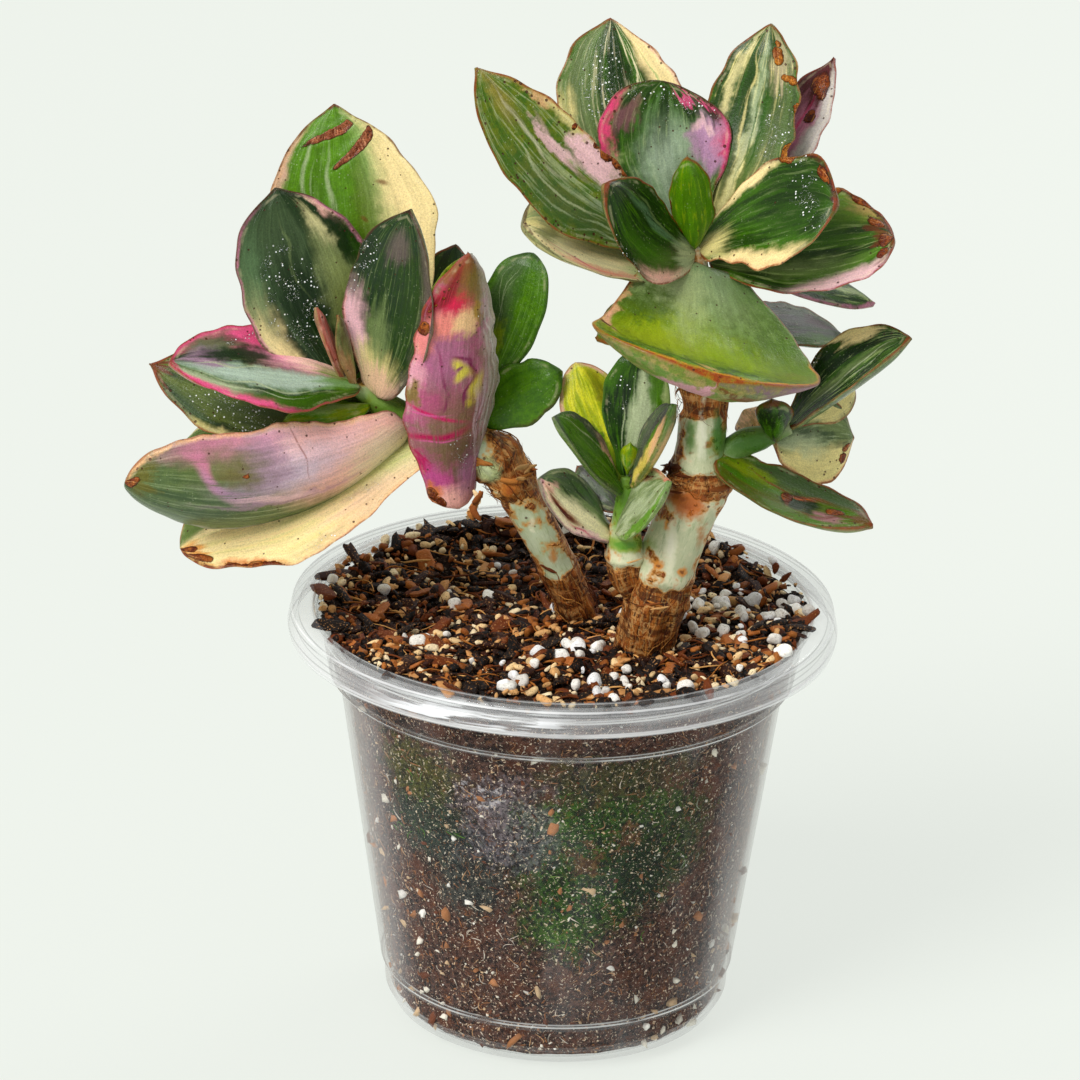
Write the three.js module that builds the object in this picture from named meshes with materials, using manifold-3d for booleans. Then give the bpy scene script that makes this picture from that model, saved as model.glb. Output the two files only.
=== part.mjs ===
// A variegated jade plant: two fleshy stems with two side shoots, growing in bark and perlite
// in a clear plastic nursery pot. Millimetres, +Z up, -Y is the front.
// The origin is the middle of the pot's underside.

import * as THREE from 'three';
import { mergeVertices } from 'three/addons/utils/BufferGeometryUtils.js';
import Module from 'manifold-3d';

const wasm = await Module();
wasm.setup();

// Driving dimensions
const gap = 0.3; // clearance between pieces that touch
const pot = {
  wall: 1.0,
  // Outside of the side, as [radius, height] from the base corner up to the neck under the rim
  side: [[28, 0], [31.4, 1.4], [33.4, 4.6], [33.6, 9.4], [34.3, 10.1], [42.6, 68.8], [44.5, 70],
    [45.8, 77.6]],
  // Rolled rim, from under the lip's fold out, down, round the lip and over to the mouth
  rim: [[47.7, 82.3], [50.3, 82.3], [51.4, 77.7], [52, 77.7], [52.4, 79.3], [51.5, 83.5], [48, 83.5],
    [47, 82.3]],
  sides: 36,
};
const drain = { count: 5, radius: 1.8, ring: 20, sides: 12, depth: 6 };
// Rings of the mix's top, as [radius, height]; it is heaped against the wall
const soil = {
  height: 79.5, rings: [[45.4, 80.6], [36, 79.5], [25, 79.5], [13, 79.5], [0, 79.5]],
  bump: 0.8, waveX: 0.31, waveY: 0.37,
};
const grains = {
  count: 36, smallest: 1.8, largest: 3.1, sunk: 0.35, reach: 42, seed: 7,
  chip: [2, 1.3, 1], // sides of a bark chip as shares of its size
  thinnest: 0.6,
  squash: 0.8,
};

// Stem centre lines from the soil up, with the radius at each point
const stems = {
  right: {
    points: [[14, -10, 64], [14.8, -12, 77], [18, -14, 94], [22.4, -14, 108], [24.4, -14, 114],
      [24.6, -14, 122], [24.4, -13, 134], [23, -13, 147], [22, -13, 155], [22, -13, 160]],
    radii: [5.3, 5.6, 5.6, 5.4, 6.1, 4.6, 4.6, 3.6, 3.0, 2.0],
  },
  left: {
    points: [[5, 5, 64], [4, 2, 77], [-2, -3, 93], [-8, -5, 105], [-13, -6, 114], [-20, -6, 118],
      [-28, -6, 121], [-35, -6, 125], [-40, -7, 129]],
    radii: [3.6, 3.9, 3.7, 3.8, 5.0, 3.7, 3.0, 2.6, 1.6],
  },
  middle: {
    points: [[15, -12, 88], [12, -14, 95], [11, -15, 101], [11, -15, 107], [11, -15, 115]],
    radii: [3.0, 3.7, 3.4, 2.6, 1.3],
  },
  side: {
    points: [[24, -14, 114], [31, -14, 121], [36, -14, 123], [41, -14, 125]],
    radii: [3.0, 2.3, 2.1, 1.3],
  },
};
const stemSides = 10;
const stepsPerSpan = 2; // rings of a stem for each span between its points

// Finishes, by name
const finishes = {
  green: { color: 0x3f6f2a, roughness: 0.38 },
  darkGreen: { color: 0x2c4a2a, roughness: 0.32 },
  cream: { color: 0xc9cf95, roughness: 0.42 },
  lime: { color: 0x93a833, roughness: 0.4 },
  pink: { color: 0xc98f8f, roughness: 0.42 },
  grey: { color: 0x6f7f66, roughness: 0.45 },
  bark: { color: 0x9a6a3c, roughness: 0.8 },
  mix: { color: 0x4a3424, roughness: 0.95 },
  clear: { color: 0xdfe6e4, roughness: 0.12 },
};

// One row a leaf. from and to are the two ends of the blade's centre line and faces is the way its
// upper side looks. width is across the blade, cup the half angle of its trough in degrees, arch how
// far the middle sags below the ends and sweep how far it bows sideways. peak is where it is widest,
// tip how blunt the end is (small is blunt) and neck the share of the width left at the base.
const leafShape = {
  width: 14, cup: 20, arch: 0, sweep: 0, peak: 0.6, tip: 0.62, neck: 0.3, thick: 3, edge: 0.9,
  swell: 1.5, fall: 2.1, // how the outline opens below the peak and closes past it
};
// Rings of a long or a short leaf, crowded towards its tip
const rings = { sides: 8, long: 9, short: 7, longFrom: 22, crowd: 1.15 };
const leastShare = 0.02; // of the width, left at the very tip
const baseThickness = 0.35; // share of the thickness that a leaf keeps however narrow it is
const leaves = {
  right_leaf_front: { from: [22, -15, 157], to: [26.5, -51, 146.5], faces: [0.3, -0.15, 1], width: 46,
    cup: 20, arch: 7, sweep: -0.5, tip: 0.42, neck: 0.42, swell: 1.2, thick: 5, edge: 2.2, finish: 'lime' },
  right_leaf_bud: { from: [22, -15, 160], to: [20, -24, 180], faces: [0, 1, 0.4], width: 9.5, cup: 40,
    peak: 0.45, thick: 2.5, finish: 'green' },
  right_leaf_inner_left: { from: [22, -15, 159], to: [5.5, -31, 177], faces: [0.3, -0.7, 0.6], width: 18,
    cup: 22, sweep: -4, peak: 0.55, tip: 0.5, finish: 'darkGreen' },
  right_leaf_inner_right: { from: [23, -14, 159], to: [46.8, -26, 172.3], faces: [-0.1, -0.7, 0.8],
    width: 23, sweep: -2, tip: 0.42, finish: 'darkGreen' },
  right_leaf_centre: { from: [21, -12, 161], to: [16, -3, 187.5], faces: [0.1, -1, 0.5], width: 26, cup: 22,
    sweep: -2.5, tip: 0.42, finish: 'pink' },
  right_leaf_far_left: { from: [20, -13, 159], to: [-18, -18, 194], faces: [0.4, -0.8, 0.5], width: 19.5,
    cup: 30, sweep: -5.2, peak: 0.55, tip: 0.74, finish: 'grey' },
  right_leaf_low_left: { from: [19, -13, 153.5], to: [-9, -20, 165.3], faces: [0.1, -0.3, 1], width: 27,
    cup: 30, peak: 0.58, tip: 0.36, finish: 'cream' },
  right_leaf_low_right: { from: [25, -11, 156], to: [58, -16, 163], faces: [0, -0.6, 1], width: 24, cup: 22,
    sweep: 1, tip: 0.4, neck: 0.25, finish: 'green' },
  right_leaf_tall_right: { from: [24, -11, 159], to: [35, 0, 198], faces: [-0.3, -1, 0.2], width: 18.5,
    sweep: 2, peak: 0.55, tip: 0.66, finish: 'cream' },
  right_leaf_tall_left: { from: [20, -10, 159], to: [6, 8, 196], faces: [0.1, -1, 0.2], width: 24.5, cup: 15,
    sweep: -4, tip: 0.7, finish: 'green' },
  right_leaf_edge: { from: [25, -9, 158], to: [47, 6, 190], faces: [-0.6, -0.8, 0.2], width: 12.5, cup: 30,
    sweep: 2, peak: 0.55, tip: 0.7, finish: 'pink' },
  right_leaf_under_right: { from: [26, -9, 156], to: [56, 2, 144], faces: [0, -0.4, 1], width: 10, cup: 15,
    finish: 'green' },
  right_leaf_under_left: { from: [22, -11, 149], to: [5, -12, 141], faces: [0, -0.4, 1], width: 12,
    finish: 'green' },
  right_leaf_lower: { from: [26, -11, 143.5], to: [51, 4, 136.5], faces: [0, -0.5, 1], width: 12.5, cup: 25,
    sweep: -1, finish: 'darkGreen' },
  right_leaf_back: { from: [24, -10, 157], to: [31, 28, 160], faces: [0, -0.2, 1], width: 20,
    finish: 'green' },
  right_leaf_back_low: { from: [22, -9, 149], to: [13, 25, 144], faces: [0, 0.1, 1], width: 17,
    finish: 'green' },

  side_leaf_long: { from: [41, -14, 125], to: [62, -14, 143], faces: [-0.5, -0.3, 0.9], width: 17, cup: 42,
    sweep: -2.2, peak: 0.5, finish: 'darkGreen' },
  side_leaf_low: { from: [27, -18, 119.5], to: [56, -24, 110], faces: [0, -0.3, 1], width: 15, cup: 35,
    arch: 2.4, peak: 0.55, neck: 0.58, finish: 'grey' },
  side_leaf_bud: { from: [38.3, -15, 123], to: [37, -22, 133], faces: [0, 1, 0.3], width: 7.5, cup: 30,
    tip: 0.5, finish: 'green' },
  side_leaf_round: { from: [38, -12.5, 121.5], to: [52.8, -4, 119.6], faces: [0, -1, 0.3], width: 15.5,
    cup: 15, peak: 0.55, tip: 0.5, neck: 0.5, finish: 'cream' },
  side_leaf_small: { from: [36, -12, 123], to: [33, -2.5, 123.5], faces: [0, -1, 0.3], width: 7, cup: 15,
    finish: 'cream' },
  side_leaf_back: { from: [41, -12, 125], to: [53, 2, 128], faces: [0, -1, 0.4], width: 9, cup: 15,
    finish: 'green' },

  middle_leaf_bud: { from: [11, -15.2, 115.5], to: [11.4, -15.6, 123], faces: [0.1, 1, 0.3], width: 5,
    cup: 25, tip: 0.5, thick: 2.6, finish: 'green' },
  middle_leaf_front_left: { from: [10, -16, 112], to: [-2.6, -25.2, 130], faces: [0.5, -0.4, 0.8],
    width: 12.4, cup: 35, peak: 0.55, finish: 'green' },
  middle_leaf_front_right: { from: [12, -16, 113], to: [19, -20, 131], faces: [-0.7, -0.3, 0.6], width: 10,
    cup: 35, peak: 0.55, finish: 'darkGreen' },
  middle_leaf_tall: { from: [11, -14, 114], to: [13, -10, 138], faces: [-0.1, -1, 0.3], width: 13, cup: 15,
    tip: 0.5, finish: 'green' },
  middle_leaf_yellow: { from: [10, -14, 113], to: [1, -2, 132], faces: [0.3, -1, 0.3], width: 11.5, cup: 15,
    peak: 0.62, tip: 0.5, finish: 'lime' },
  middle_leaf_low_left: { from: [9, -14, 102], to: [-5, -20, 115.8], faces: [0.3, -0.6, 0.8], width: 13,
    tip: 0.5, finish: 'cream' },
  middle_leaf_low_right: { from: [9.5, -17, 104], to: [18.5, -24, 117.5], faces: [-0.5, -0.5, 0.8],
    width: 13.5, cup: 32, peak: 0.5, tip: 0.55, finish: 'grey' },
  middle_leaf_back: { from: [10, -13, 107], to: [2, -6, 113], faces: [0.3, -1, 0.3], width: 9, cup: 15,
    finish: 'grey' },

  left_leaf_front: { from: [-20.5, -10, 106.2], to: [-19, -22, 160], faces: [-0.45, 0.9, 0], width: 20.5,
    cup: 40, sweep: 1, peak: 0.48, tip: 0.64, neck: 0.5, fall: 1.9, finish: 'pink' },
  left_leaf_long: { from: [-30, -8, 121.5], to: [-81, -24, 115.6], faces: [0, 0.9, 0.4], width: 27, cup: 40,
    arch: 6, sweep: 4.5, peak: 0.5, tip: 0.4, neck: 0.42, finish: 'grey' },
  left_leaf_streaked: { from: [-39, -9, 129], to: [-73, -22, 137.8], faces: [0.1, -0.5, 1], width: 22,
    cup: 25, peak: 0.5, neck: 0.22, finish: 'darkGreen' },
  left_leaf_centre: { from: [-35.5, -8, 127], to: [-30, -16, 166], faces: [-0.5, -0.85, 0.3], width: 22.5,
    cup: 40, sweep: 1, peak: 0.5, tip: 0.72, finish: 'darkGreen' },
  left_leaf_bud_left: { from: [-42, -9, 130], to: [-47, -11, 145], faces: [1, -0.3, 0], width: 4,
    thick: 2, finish: 'pink' },
  left_leaf_bud_right: { from: [-40, -9, 129], to: [-43, -12, 144], faces: [-1, 0.2, 0], width: 6,
    cup: 30, thick: 2, finish: 'green' },
  left_leaf_narrow: { from: [-37, -8, 125], to: [-53, -16, 124], faces: [0, -0.5, 1], width: 8.5, cup: 15,
    thick: 4, finish: 'lime' },
  left_leaf_round: { from: [-42, -7, 129], to: [-55, -2, 165], faces: [0.3, -1, 0.4], width: 27, cup: 18,
    sweep: -1, peak: 0.55, tip: 0.7, finish: 'darkGreen' },
  left_leaf_tall: { from: [-38, -4, 126], to: [-45, 12, 177], faces: [0.05, -1, 0.2], width: 34, cup: 18,
    peak: 0.5, tip: 0.8, finish: 'green' },
  left_leaf_pale: { from: [-26, -7, 118], to: [-71.7, -12, 97.3], faces: [0, -0.6, 1], width: 26, cup: 10,
    tip: 0.5, neck: 0.42, finish: 'cream' },
  left_leaf_shaded: { from: [-38, -5, 125], to: [-78, -4, 131], faces: [0, -0.9, 0.6], width: 19, cup: 15,
    sweep: -3, peak: 0.58, tip: 0.9, finish: 'darkGreen' },
  left_leaf_right_low: { from: [-18, -4, 120.5], to: [-2, -6, 132], faces: [0, -1, 0.6], width: 12.3, cup: 10,
    tip: 0.5, finish: 'green' },
  left_leaf_right_high: { from: [-17, -3, 120], to: [-7.6, 4, 151.4], faces: [-0.4, -1, 0.3], width: 13.5,
    peak: 0.72, tip: 0.5, neck: 0.25, swell: 2.2, finish: 'green' },
  left_leaf_between: { from: [-24, -2, 120], to: [-19, -2, 153], faces: [-0.5, -0.8, 0.2], width: 14,
    cup: 25, finish: 'lime' },
  left_leaf_behind: { from: [-26, -4, 122], to: [-22, 12, 150], faces: [-0.1, -1, 0.2], width: 15, cup: 15,
    finish: 'darkGreen' },
  left_leaf_under: { from: [-36, -4, 123], to: [-72, 2, 113], faces: [0, -0.3, 1], width: 20, cup: 10,
    finish: 'green' },
  left_leaf_inner: { from: [-41, -5, 130], to: [-57, 6, 136], faces: [0, -0.3, 1], width: 14, cup: 15,
    finish: 'green' },
  left_leaf_back: { from: [-36, -4, 125], to: [-42, 30, 131], faces: [0, -0.2, 1], width: 20,
    finish: 'green' },
  left_leaf_back_low: { from: [-18, -3, 118], to: [-21, 26, 118], faces: [0, 0.1, 1], width: 16,
    finish: 'green' },
};

// Helpers between three.js geometry and solids
function toSolid(geometry) {
  const plain = geometry.clone();
  plain.deleteAttribute('normal');
  plain.deleteAttribute('uv');
  const merged = mergeVertices(plain, 1e-4);
  return new wasm.Manifold(new wasm.Mesh({
    numProp: 3,
    vertProperties: new Float32Array(merged.attributes.position.array),
    triVerts: new Uint32Array(merged.index.array),
  }));
}

function toGeometry(solid) {
  const mesh = solid.getMesh();
  const geometry = new THREE.BufferGeometry();
  geometry.setAttribute('position', new THREE.BufferAttribute(new Float32Array(mesh.vertProperties), 3));
  geometry.setIndex(new THREE.BufferAttribute(new Uint32Array(mesh.triVerts), 1));
  geometry.computeVertexNormals();
  return geometry;
}

// A closed skin over loops of points, with a fan at each end
function loft(loops) {
  const sides = loops[0].length;
  const middleOf = (ring) => ring.reduce((sum, p) => sum.add(p), new THREE.Vector3()).divideScalar(sides);
  const points = [...loops.flat(), middleOf(loops[0]), middleOf(loops[loops.length - 1])];
  const first = points.length - 2;
  const last = points.length - 1;
  const index = [];
  for (let j = 0; j < sides; j++) {
    const next = (j + 1) % sides;
    for (let i = 0; i < loops.length - 1; i++) {
      const here = i * sides;
      const there = here + sides;
      index.push(here + j, here + next, there + next, here + j, there + next, there + j);
    }
    const top = (loops.length - 1) * sides;
    index.push(first, next, j, last, top + j, top + next);
  }
  const geometry = new THREE.BufferGeometry().setFromPoints(points);
  geometry.setIndex(index);
  return toSolid(geometry);
}

// A round stem along a smooth centre line; grow makes it fatter all over
function stemSolid({ points, radii }, grow = 0) {
  const line = new THREE.CatmullRomCurve3(points.map((p) => new THREE.Vector3(...p)));
  const steps = (points.length - 1) * stepsPerSpan;
  const depthAxis = new THREE.Vector3(0, 1, 0);
  const loops = [];
  for (let i = 0; i <= steps; i++) {
    const t = i / steps;
    const along = line.getTangent(t);
    const across = new THREE.Vector3().crossVectors(along, depthAxis).normalize();
    const front = new THREE.Vector3().crossVectors(along, across);
    const spans = i / stepsPerSpan;
    const span = Math.min(Math.floor(spans), radii.length - 2);
    const radius = THREE.MathUtils.lerp(radii[span], radii[span + 1], spans - span) + grow;
    const centre = line.getPoint(t);
    if (i === 0) centre.addScaledVector(along, -grow);
    if (i === steps) centre.addScaledVector(along, grow);
    loops.push(Array.from({ length: stemSides }, (_, j) => {
      const angle = (2 * Math.PI * j) / stemSides;
      return centre.clone()
        .addScaledVector(across, radius * Math.cos(angle))
        .addScaledVector(front, radius * Math.sin(angle));
    }));
  }
  return loft(loops);
}

// Share of the full width at u, from the base (0) to the tip (1)
function outline(u, { peak, tip, neck, swell, fall }) {
  if (u < peak) return neck + (1 - neck) * Math.sin((u / peak) * Math.PI / 2) ** swell;
  const past = (u - peak) / (1 - peak);
  return Math.max(1 - past ** fall, 0) ** tip;
}

// A fleshy blade: rings across its centre line, each bent into a trough
function leafSolid(row, grow = 0) {
  const leaf = { ...leafShape, ...row };
  const from = new THREE.Vector3(...leaf.from);
  const to = new THREE.Vector3(...leaf.to);
  const run = new THREE.Vector3().subVectors(to, from);
  const length = run.length();
  const along = run.normalize();
  const up = new THREE.Vector3(...leaf.faces);
  up.addScaledVector(along, -up.dot(along)).normalize();
  const side = new THREE.Vector3().crossVectors(along, up);
  const bend = THREE.MathUtils.degToRad(leaf.cup);
  const last = (length > rings.longFrom ? rings.long : rings.short) - 1;
  const loops = [];
  for (let i = 0; i <= last; i++) {
    const u = Math.sin((i / last) * Math.PI / 2) ** rings.crowd;
    const sag = 4 * u * (1 - u);
    const slope = 4 * (1 - 2 * u);
    const centre = from.clone().addScaledVector(along, length * u)
      .addScaledVector(up, -leaf.arch * sag).addScaledVector(side, leaf.sweep * sag);
    const tangent = along.clone().multiplyScalar(length)
      .addScaledVector(up, -leaf.arch * slope).addScaledVector(side, leaf.sweep * slope).normalize();
    const top = up.clone().addScaledVector(tangent, -up.dot(tangent)).normalize();
    const out = new THREE.Vector3().crossVectors(tangent, top);
    if (i === 0) centre.addScaledVector(tangent, -grow);
    if (i === last) centre.addScaledVector(tangent, grow);
    const share = Math.max(outline(u, leaf), leastShare);
    const half = (leaf.width / 2) * share + grow;
    const loop = [];
    for (let j = 0; j < rings.sides; j++) {
      const angle = (-2 * Math.PI * j) / rings.sides;
      const v = Math.cos(angle);
      const middle = leaf.edge / 2 + ((leaf.thick - leaf.edge) / 2) * (1 - v * v);
      const rise = Math.sin(angle) * (middle * Math.min(1, baseThickness + share) + grow);
      const x = (half * Math.sin(bend * v)) / bend - rise * Math.sin(bend * v);
      const z = (half * (1 - Math.cos(bend * v))) / bend + rise * Math.cos(bend * v);
      loop.push(centre.clone().addScaledVector(out, x).addScaledVector(top, z));
    }
    loops.push(loop);
  }
  return loft(loops);
}

function lathe(outlinePoints, sides) {
  const profile = outlinePoints.map(([r, z]) => new THREE.Vector2(r, z));
  return new THREE.LatheGeometry(profile, sides).rotateX(Math.PI / 2);
}

// The pot's side moved in by inset, square to itself
function sideInset(inset) {
  const { side } = pot;
  return side.map(([r, z], i) => {
    const [r0, z0] = side[Math.max(i - 1, 0)];
    const [r1, z1] = side[Math.min(i + 1, side.length - 1)];
    const run = Math.hypot(r1 - r0, z1 - z0);
    return [r - (inset * (z1 - z0)) / run, z + (inset * (r1 - r0)) / run];
  });
}

function makePot() {
  const inside = sideInset(pot.wall).reverse();
  let body = toSolid(lathe([[0, 0], ...pot.side, ...pot.rim, ...inside, [0, pot.wall]], pot.sides));
  const cutter = new THREE.CylinderGeometry(drain.radius, drain.radius, drain.depth, drain.sides);
  cutter.rotateX(Math.PI / 2);
  for (let i = 0; i < drain.count; i++) {
    const angle = (2 * Math.PI * (i + 0.5)) / drain.count;
    const hole = cutter.clone().translate(drain.ring * Math.cos(angle), drain.ring * Math.sin(angle), 0);
    body = body.subtract(toSolid(hole));
  }
  return body;
}

// A bark chip or a perlite lump, lying at a random tilt
function grainShape(isBark, size, random) {
  const grain = isBark
    ? new THREE.BoxGeometry(...grains.chip.map((share) => share * size))
    : new THREE.IcosahedronGeometry(size, 0);
  const depth = THREE.MathUtils.lerp(grains.thinnest, 1, random());
  return grain.scale(1, depth, grains.squash).rotateX(random() - 0.5).rotateZ(2 * Math.PI * random());
}

// The mix: follows the pot's inside, with a lumpy top and bark and perlite grains sunk in it
function makeSoil(stemHoles) {
  const side = sideInset(pot.wall + gap);
  const geometry = lathe([[0, pot.wall + gap], ...side, ...soil.rings], pot.sides);
  const place = geometry.attributes.position;
  for (let i = 0; i < place.count; i++) {
    if (place.getZ(i) < soil.height - gap) continue;
    const wave = Math.sin(place.getX(i) * soil.waveX) * Math.cos(place.getY(i) * soil.waveY);
    place.setZ(i, place.getZ(i) + soil.bump * wave);
  }
  let body = toSolid(geometry);

  let state = grains.seed;
  const random = () => {
    state = (state * 16807) % 2147483647; // Park and Miller's generator
    return state / 2147483647;
  };
  for (let i = 0; i < grains.count; i++) {
    const reach = grains.reach * Math.sqrt(random());
    const angle = 2 * Math.PI * random();
    const size = THREE.MathUtils.lerp(grains.smallest, grains.largest, random());
    const grain = grainShape(i % 2 === 0, size, random);
    grain.translate(reach * Math.cos(angle), reach * Math.sin(angle), soil.height + size * grains.sunk);
    body = body.add(toSolid(grain));
  }
  for (const hole of stemHoles) body = body.subtract(hole);
  return largest(body);
}

// The one body worth keeping after a cut
function largest(solid) {
  return solid.decompose().reduce((best, piece) => (piece.volume() > best.volume() ? piece : best));
}

function touching(a, b) {
  return [0, 1, 2].every((k) => a.min[k] < b.max[k] && b.min[k] < a.max[k]);
}

function addMesh(group, name, solid, finish) {
  const material = new THREE.MeshStandardMaterial({ metalness: 0, ...finishes[finish] });
  if (finish === 'clear') Object.assign(material, { transparent: true, opacity: 0.35 });
  const mesh = new THREE.Mesh(toGeometry(solid), material);
  mesh.name = name;
  group.add(mesh);
}

const group = new THREE.Group();
const joined = (names, grow) => names.map((name) => stemSolid(stems[name], grow)).reduce((a, b) => a.add(b));
const rightShoots = ['right', 'middle', 'side'];
const rightRoom = joined(rightShoots, gap);
const leftRoom = stemSolid(stems.left, gap);

addMesh(group, 'pot', makePot(), 'clear');
addMesh(group, 'soil', makeSoil([rightRoom, leftRoom]), 'mix');
addMesh(group, 'right_stem', joined(rightShoots, 0), 'bark');
addMesh(group, 'left_stem', stemSolid(stems.left), 'bark');

// Each leaf is trimmed clear of the stems and of the leaves before it in the list
const placed = [rightRoom, leftRoom];
for (const [name, leaf] of Object.entries(leaves)) {
  let blade = leafSolid(leaf);
  for (const room of placed) {
    if (touching(blade.boundingBox(), room.boundingBox())) blade = blade.subtract(room);
  }
  addMesh(group, name, largest(blade), leaf.finish);
  placed.push(leafSolid(leaf, gap));
}

export default group;
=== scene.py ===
# Variegated jade plant in a clear nursery pot: finished leaves, bark, potting mix and pot
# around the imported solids. Sizes are in millimetres until a mesh is made.
import math

import bmesh
import bpy
import numpy as np
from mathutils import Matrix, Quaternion, Vector


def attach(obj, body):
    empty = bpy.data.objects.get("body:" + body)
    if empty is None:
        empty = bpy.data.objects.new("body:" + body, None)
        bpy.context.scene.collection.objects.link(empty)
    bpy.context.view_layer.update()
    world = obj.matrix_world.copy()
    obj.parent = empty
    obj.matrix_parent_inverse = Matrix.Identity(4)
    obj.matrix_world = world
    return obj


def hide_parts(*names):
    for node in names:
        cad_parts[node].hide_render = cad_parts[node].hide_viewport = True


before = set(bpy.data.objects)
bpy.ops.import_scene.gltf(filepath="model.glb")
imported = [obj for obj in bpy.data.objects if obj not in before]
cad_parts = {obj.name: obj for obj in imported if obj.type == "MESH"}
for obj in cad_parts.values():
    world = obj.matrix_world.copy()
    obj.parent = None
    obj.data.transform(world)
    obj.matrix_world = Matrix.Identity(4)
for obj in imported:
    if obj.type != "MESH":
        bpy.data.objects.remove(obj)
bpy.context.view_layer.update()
mm = 0.001
print("frame loaded,", len(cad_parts), "nodes")

tones = dict(
    deepGreen="102806", darkGreen="223f08", midGreen="3a6608", brightGreen="5a8e06", leafGreen="4c7a06",
    oliveGreen="586410", olive="6a6010", lime="98a90e", yellowLime="dcd82c", greyGreen="7a8c56",
    slateGreen="465a38", paleGreen="a8bb74", silverGreen="b6c298", cream="ecdc92", warmCream="fae2a2",
    paleCream="f2e6ba", peach="f5bd88", palePink="f2b8a8", pinkWhite="efc2c4", hotPink="e8467a",
    deepPink="c92a62", lilac="b488a8", lilacPink="cb7a98", mauve="8c5060", plum="5a3444",
    purpleGrey="74605e", greyWhite="ccc6be", rust="8a3c1c", brown="47200e", burnt="6e320c",
    orange="cc6512", amber="de8a2a", maroon="4f1618", coral="e47c6c", slate="4a4b46",
    blackGreen="12220e", tan="bb9350",
)


def tone(name):  # a tone by its name or its code, as the shader takes it
    code = tones.get(name, name)
    parts = [int(code[i:i + 2], 16) / 255 for i in (0, 2, 4)]
    return tuple(((c + 0.055) / 1.055) ** 2.4 if c > 0.04045 else c / 12.92 for c in parts) + (1,)


# Small helpers for shader nodes
def newMaterial(name):
    material = bpy.data.materials.new(name)
    material.use_nodes = True
    material.node_tree.nodes.clear()
    return material, material.node_tree


def add(tree, kind, inputs=None, out=0, **settings):
    node = tree.nodes.new("ShaderNode" + kind)
    for key, value in settings.items():
        setattr(node, key, value)
    for key, value in (inputs or {}).items():
        if isinstance(value, bpy.types.NodeSocket):
            tree.links.new(value, node.inputs[key])
        else:
            node.inputs[key].default_value = value
    return node.outputs[out]


def calc(tree, operation, a, b=0.0, c=0.0, clamp=False):
    return add(tree, "Math", {0: a, 1: b, 2: c}, operation=operation, use_clamp=clamp)


def times(tree, a, b):
    return calc(tree, "MULTIPLY", a, b)


def timesPlus(tree, a, b, c, clamp=False):
    return calc(tree, "MULTIPLY_ADD", a, b, c, clamp)


def larger(tree, a, b):
    return b if a is None else calc(tree, "MAXIMUM", a, b)


def centred(tree, value):
    return calc(tree, "SUBTRACT", value, 0.5)


def apart(tree, a, b):
    return calc(tree, "ABSOLUTE", calc(tree, "SUBTRACT", a, b))


def reachOf(tree, x, y):
    return calc(tree, "SQRT", calc(tree, "ADD", times(tree, x, x), times(tree, y, y)))


def fade(tree, value, low, high):  # 0 at low, 1 at high, whichever is larger
    return add(tree, "MapRange", {"Value": value, "From Min": low, "From Max": high},
               interpolation_type="SMOOTHSTEP")


def tint(tree, share, under, over, blend="MIX"):
    return add(tree, "Mix", {0: share, 6: under, 7: over}, out=2, data_type="RGBA", blend_type=blend)


def grain(tree, vector, scale, detail=2, rough=0.5):
    return add(tree, "TexNoise", {"Vector": vector, "Scale": scale, "Detail": detail, "Roughness": rough})


def cells(tree, vector, scale):  # distance to the nearest seed, and a random number for its cell
    reach = add(tree, "TexVoronoi", {"Vector": vector, "Scale": scale})
    return reach, add(tree, "SeparateColor", {0: reach.node.outputs["Color"]})


def combine(tree, x, y, z=0.0):
    return add(tree, "CombineXYZ", {0: x, 1: y, 2: z})


def parts(tree, vector):
    x = add(tree, "SeparateXYZ", {0: vector})
    return x, x.node.outputs[1], x.node.outputs[2]


def scaled(tree, vector, by):
    return add(tree, "VectorMath", {0: vector, "Scale": by}, operation="SCALE")


def stretched(tree, vector, *by):
    return add(tree, "Mapping", {"Vector": vector, "Scale": by})


def bent(tree, vector, place, scale, amount, *detail):  # the vector pushed about by coloured noise
    push = grain(tree, place, scale, *(detail or (2,))).node.outputs["Color"]
    return add(tree, "VectorMath", {0: vector, 1: scaled(tree, push, amount)}, operation="ADD")


def placeInMm(tree):
    return scaled(tree, add(tree, "TexCoord", out=3), 1000.0)


def spot(tree, vector, place, size, turn=0.0, soft=0.25):  # 1 inside an ellipsoid, 0 outside
    local = add(tree, "Mapping", {"Vector": vector, "Location": place, "Rotation": (0, 0, turn),
                                  "Scale": size}, vector_type="TEXTURE")
    reach = add(tree, "VectorMath", {0: local}, out=1, operation="LENGTH")
    return fade(tree, reach, 1 + soft, 1 - soft)


def attribute(tree, name, out=1):
    return add(tree, "Attribute", out=out, attribute_name=name)


def finishShader(tree, colour, roughness, height, depth, strength=1.0, **extra):
    inputs = {"Base Color": colour, "Roughness": roughness}
    if height is not None:
        inputs["Normal"] = add(tree, "Bump", {"Strength": strength, "Distance": depth * mm, "Height": height})
    inputs.update({key.replace("_", " "): value for key, value in extra.items()})
    shader = add(tree, "BsdfPrincipled", inputs)
    tree.links.new(shader, tree.nodes.new("ShaderNodeOutputMaterial").inputs["Surface"])


# Small helpers for meshes. Grids and points are numpy arrays in millimetres.
def waves(points, pace, seed, count=9):  # smooth noise, about -1 to 1
    dice = np.random.default_rng(seed)
    total = 0.0
    for _ in range(count):
        heading = dice.normal(size=points.shape[-1])
        heading *= dice.uniform(0.5, 1.6) / np.linalg.norm(heading)
        total = total + np.sin(points @ heading * pace + dice.uniform(0, 2 * math.pi))
    return total / math.sqrt(count * 0.6)


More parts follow.
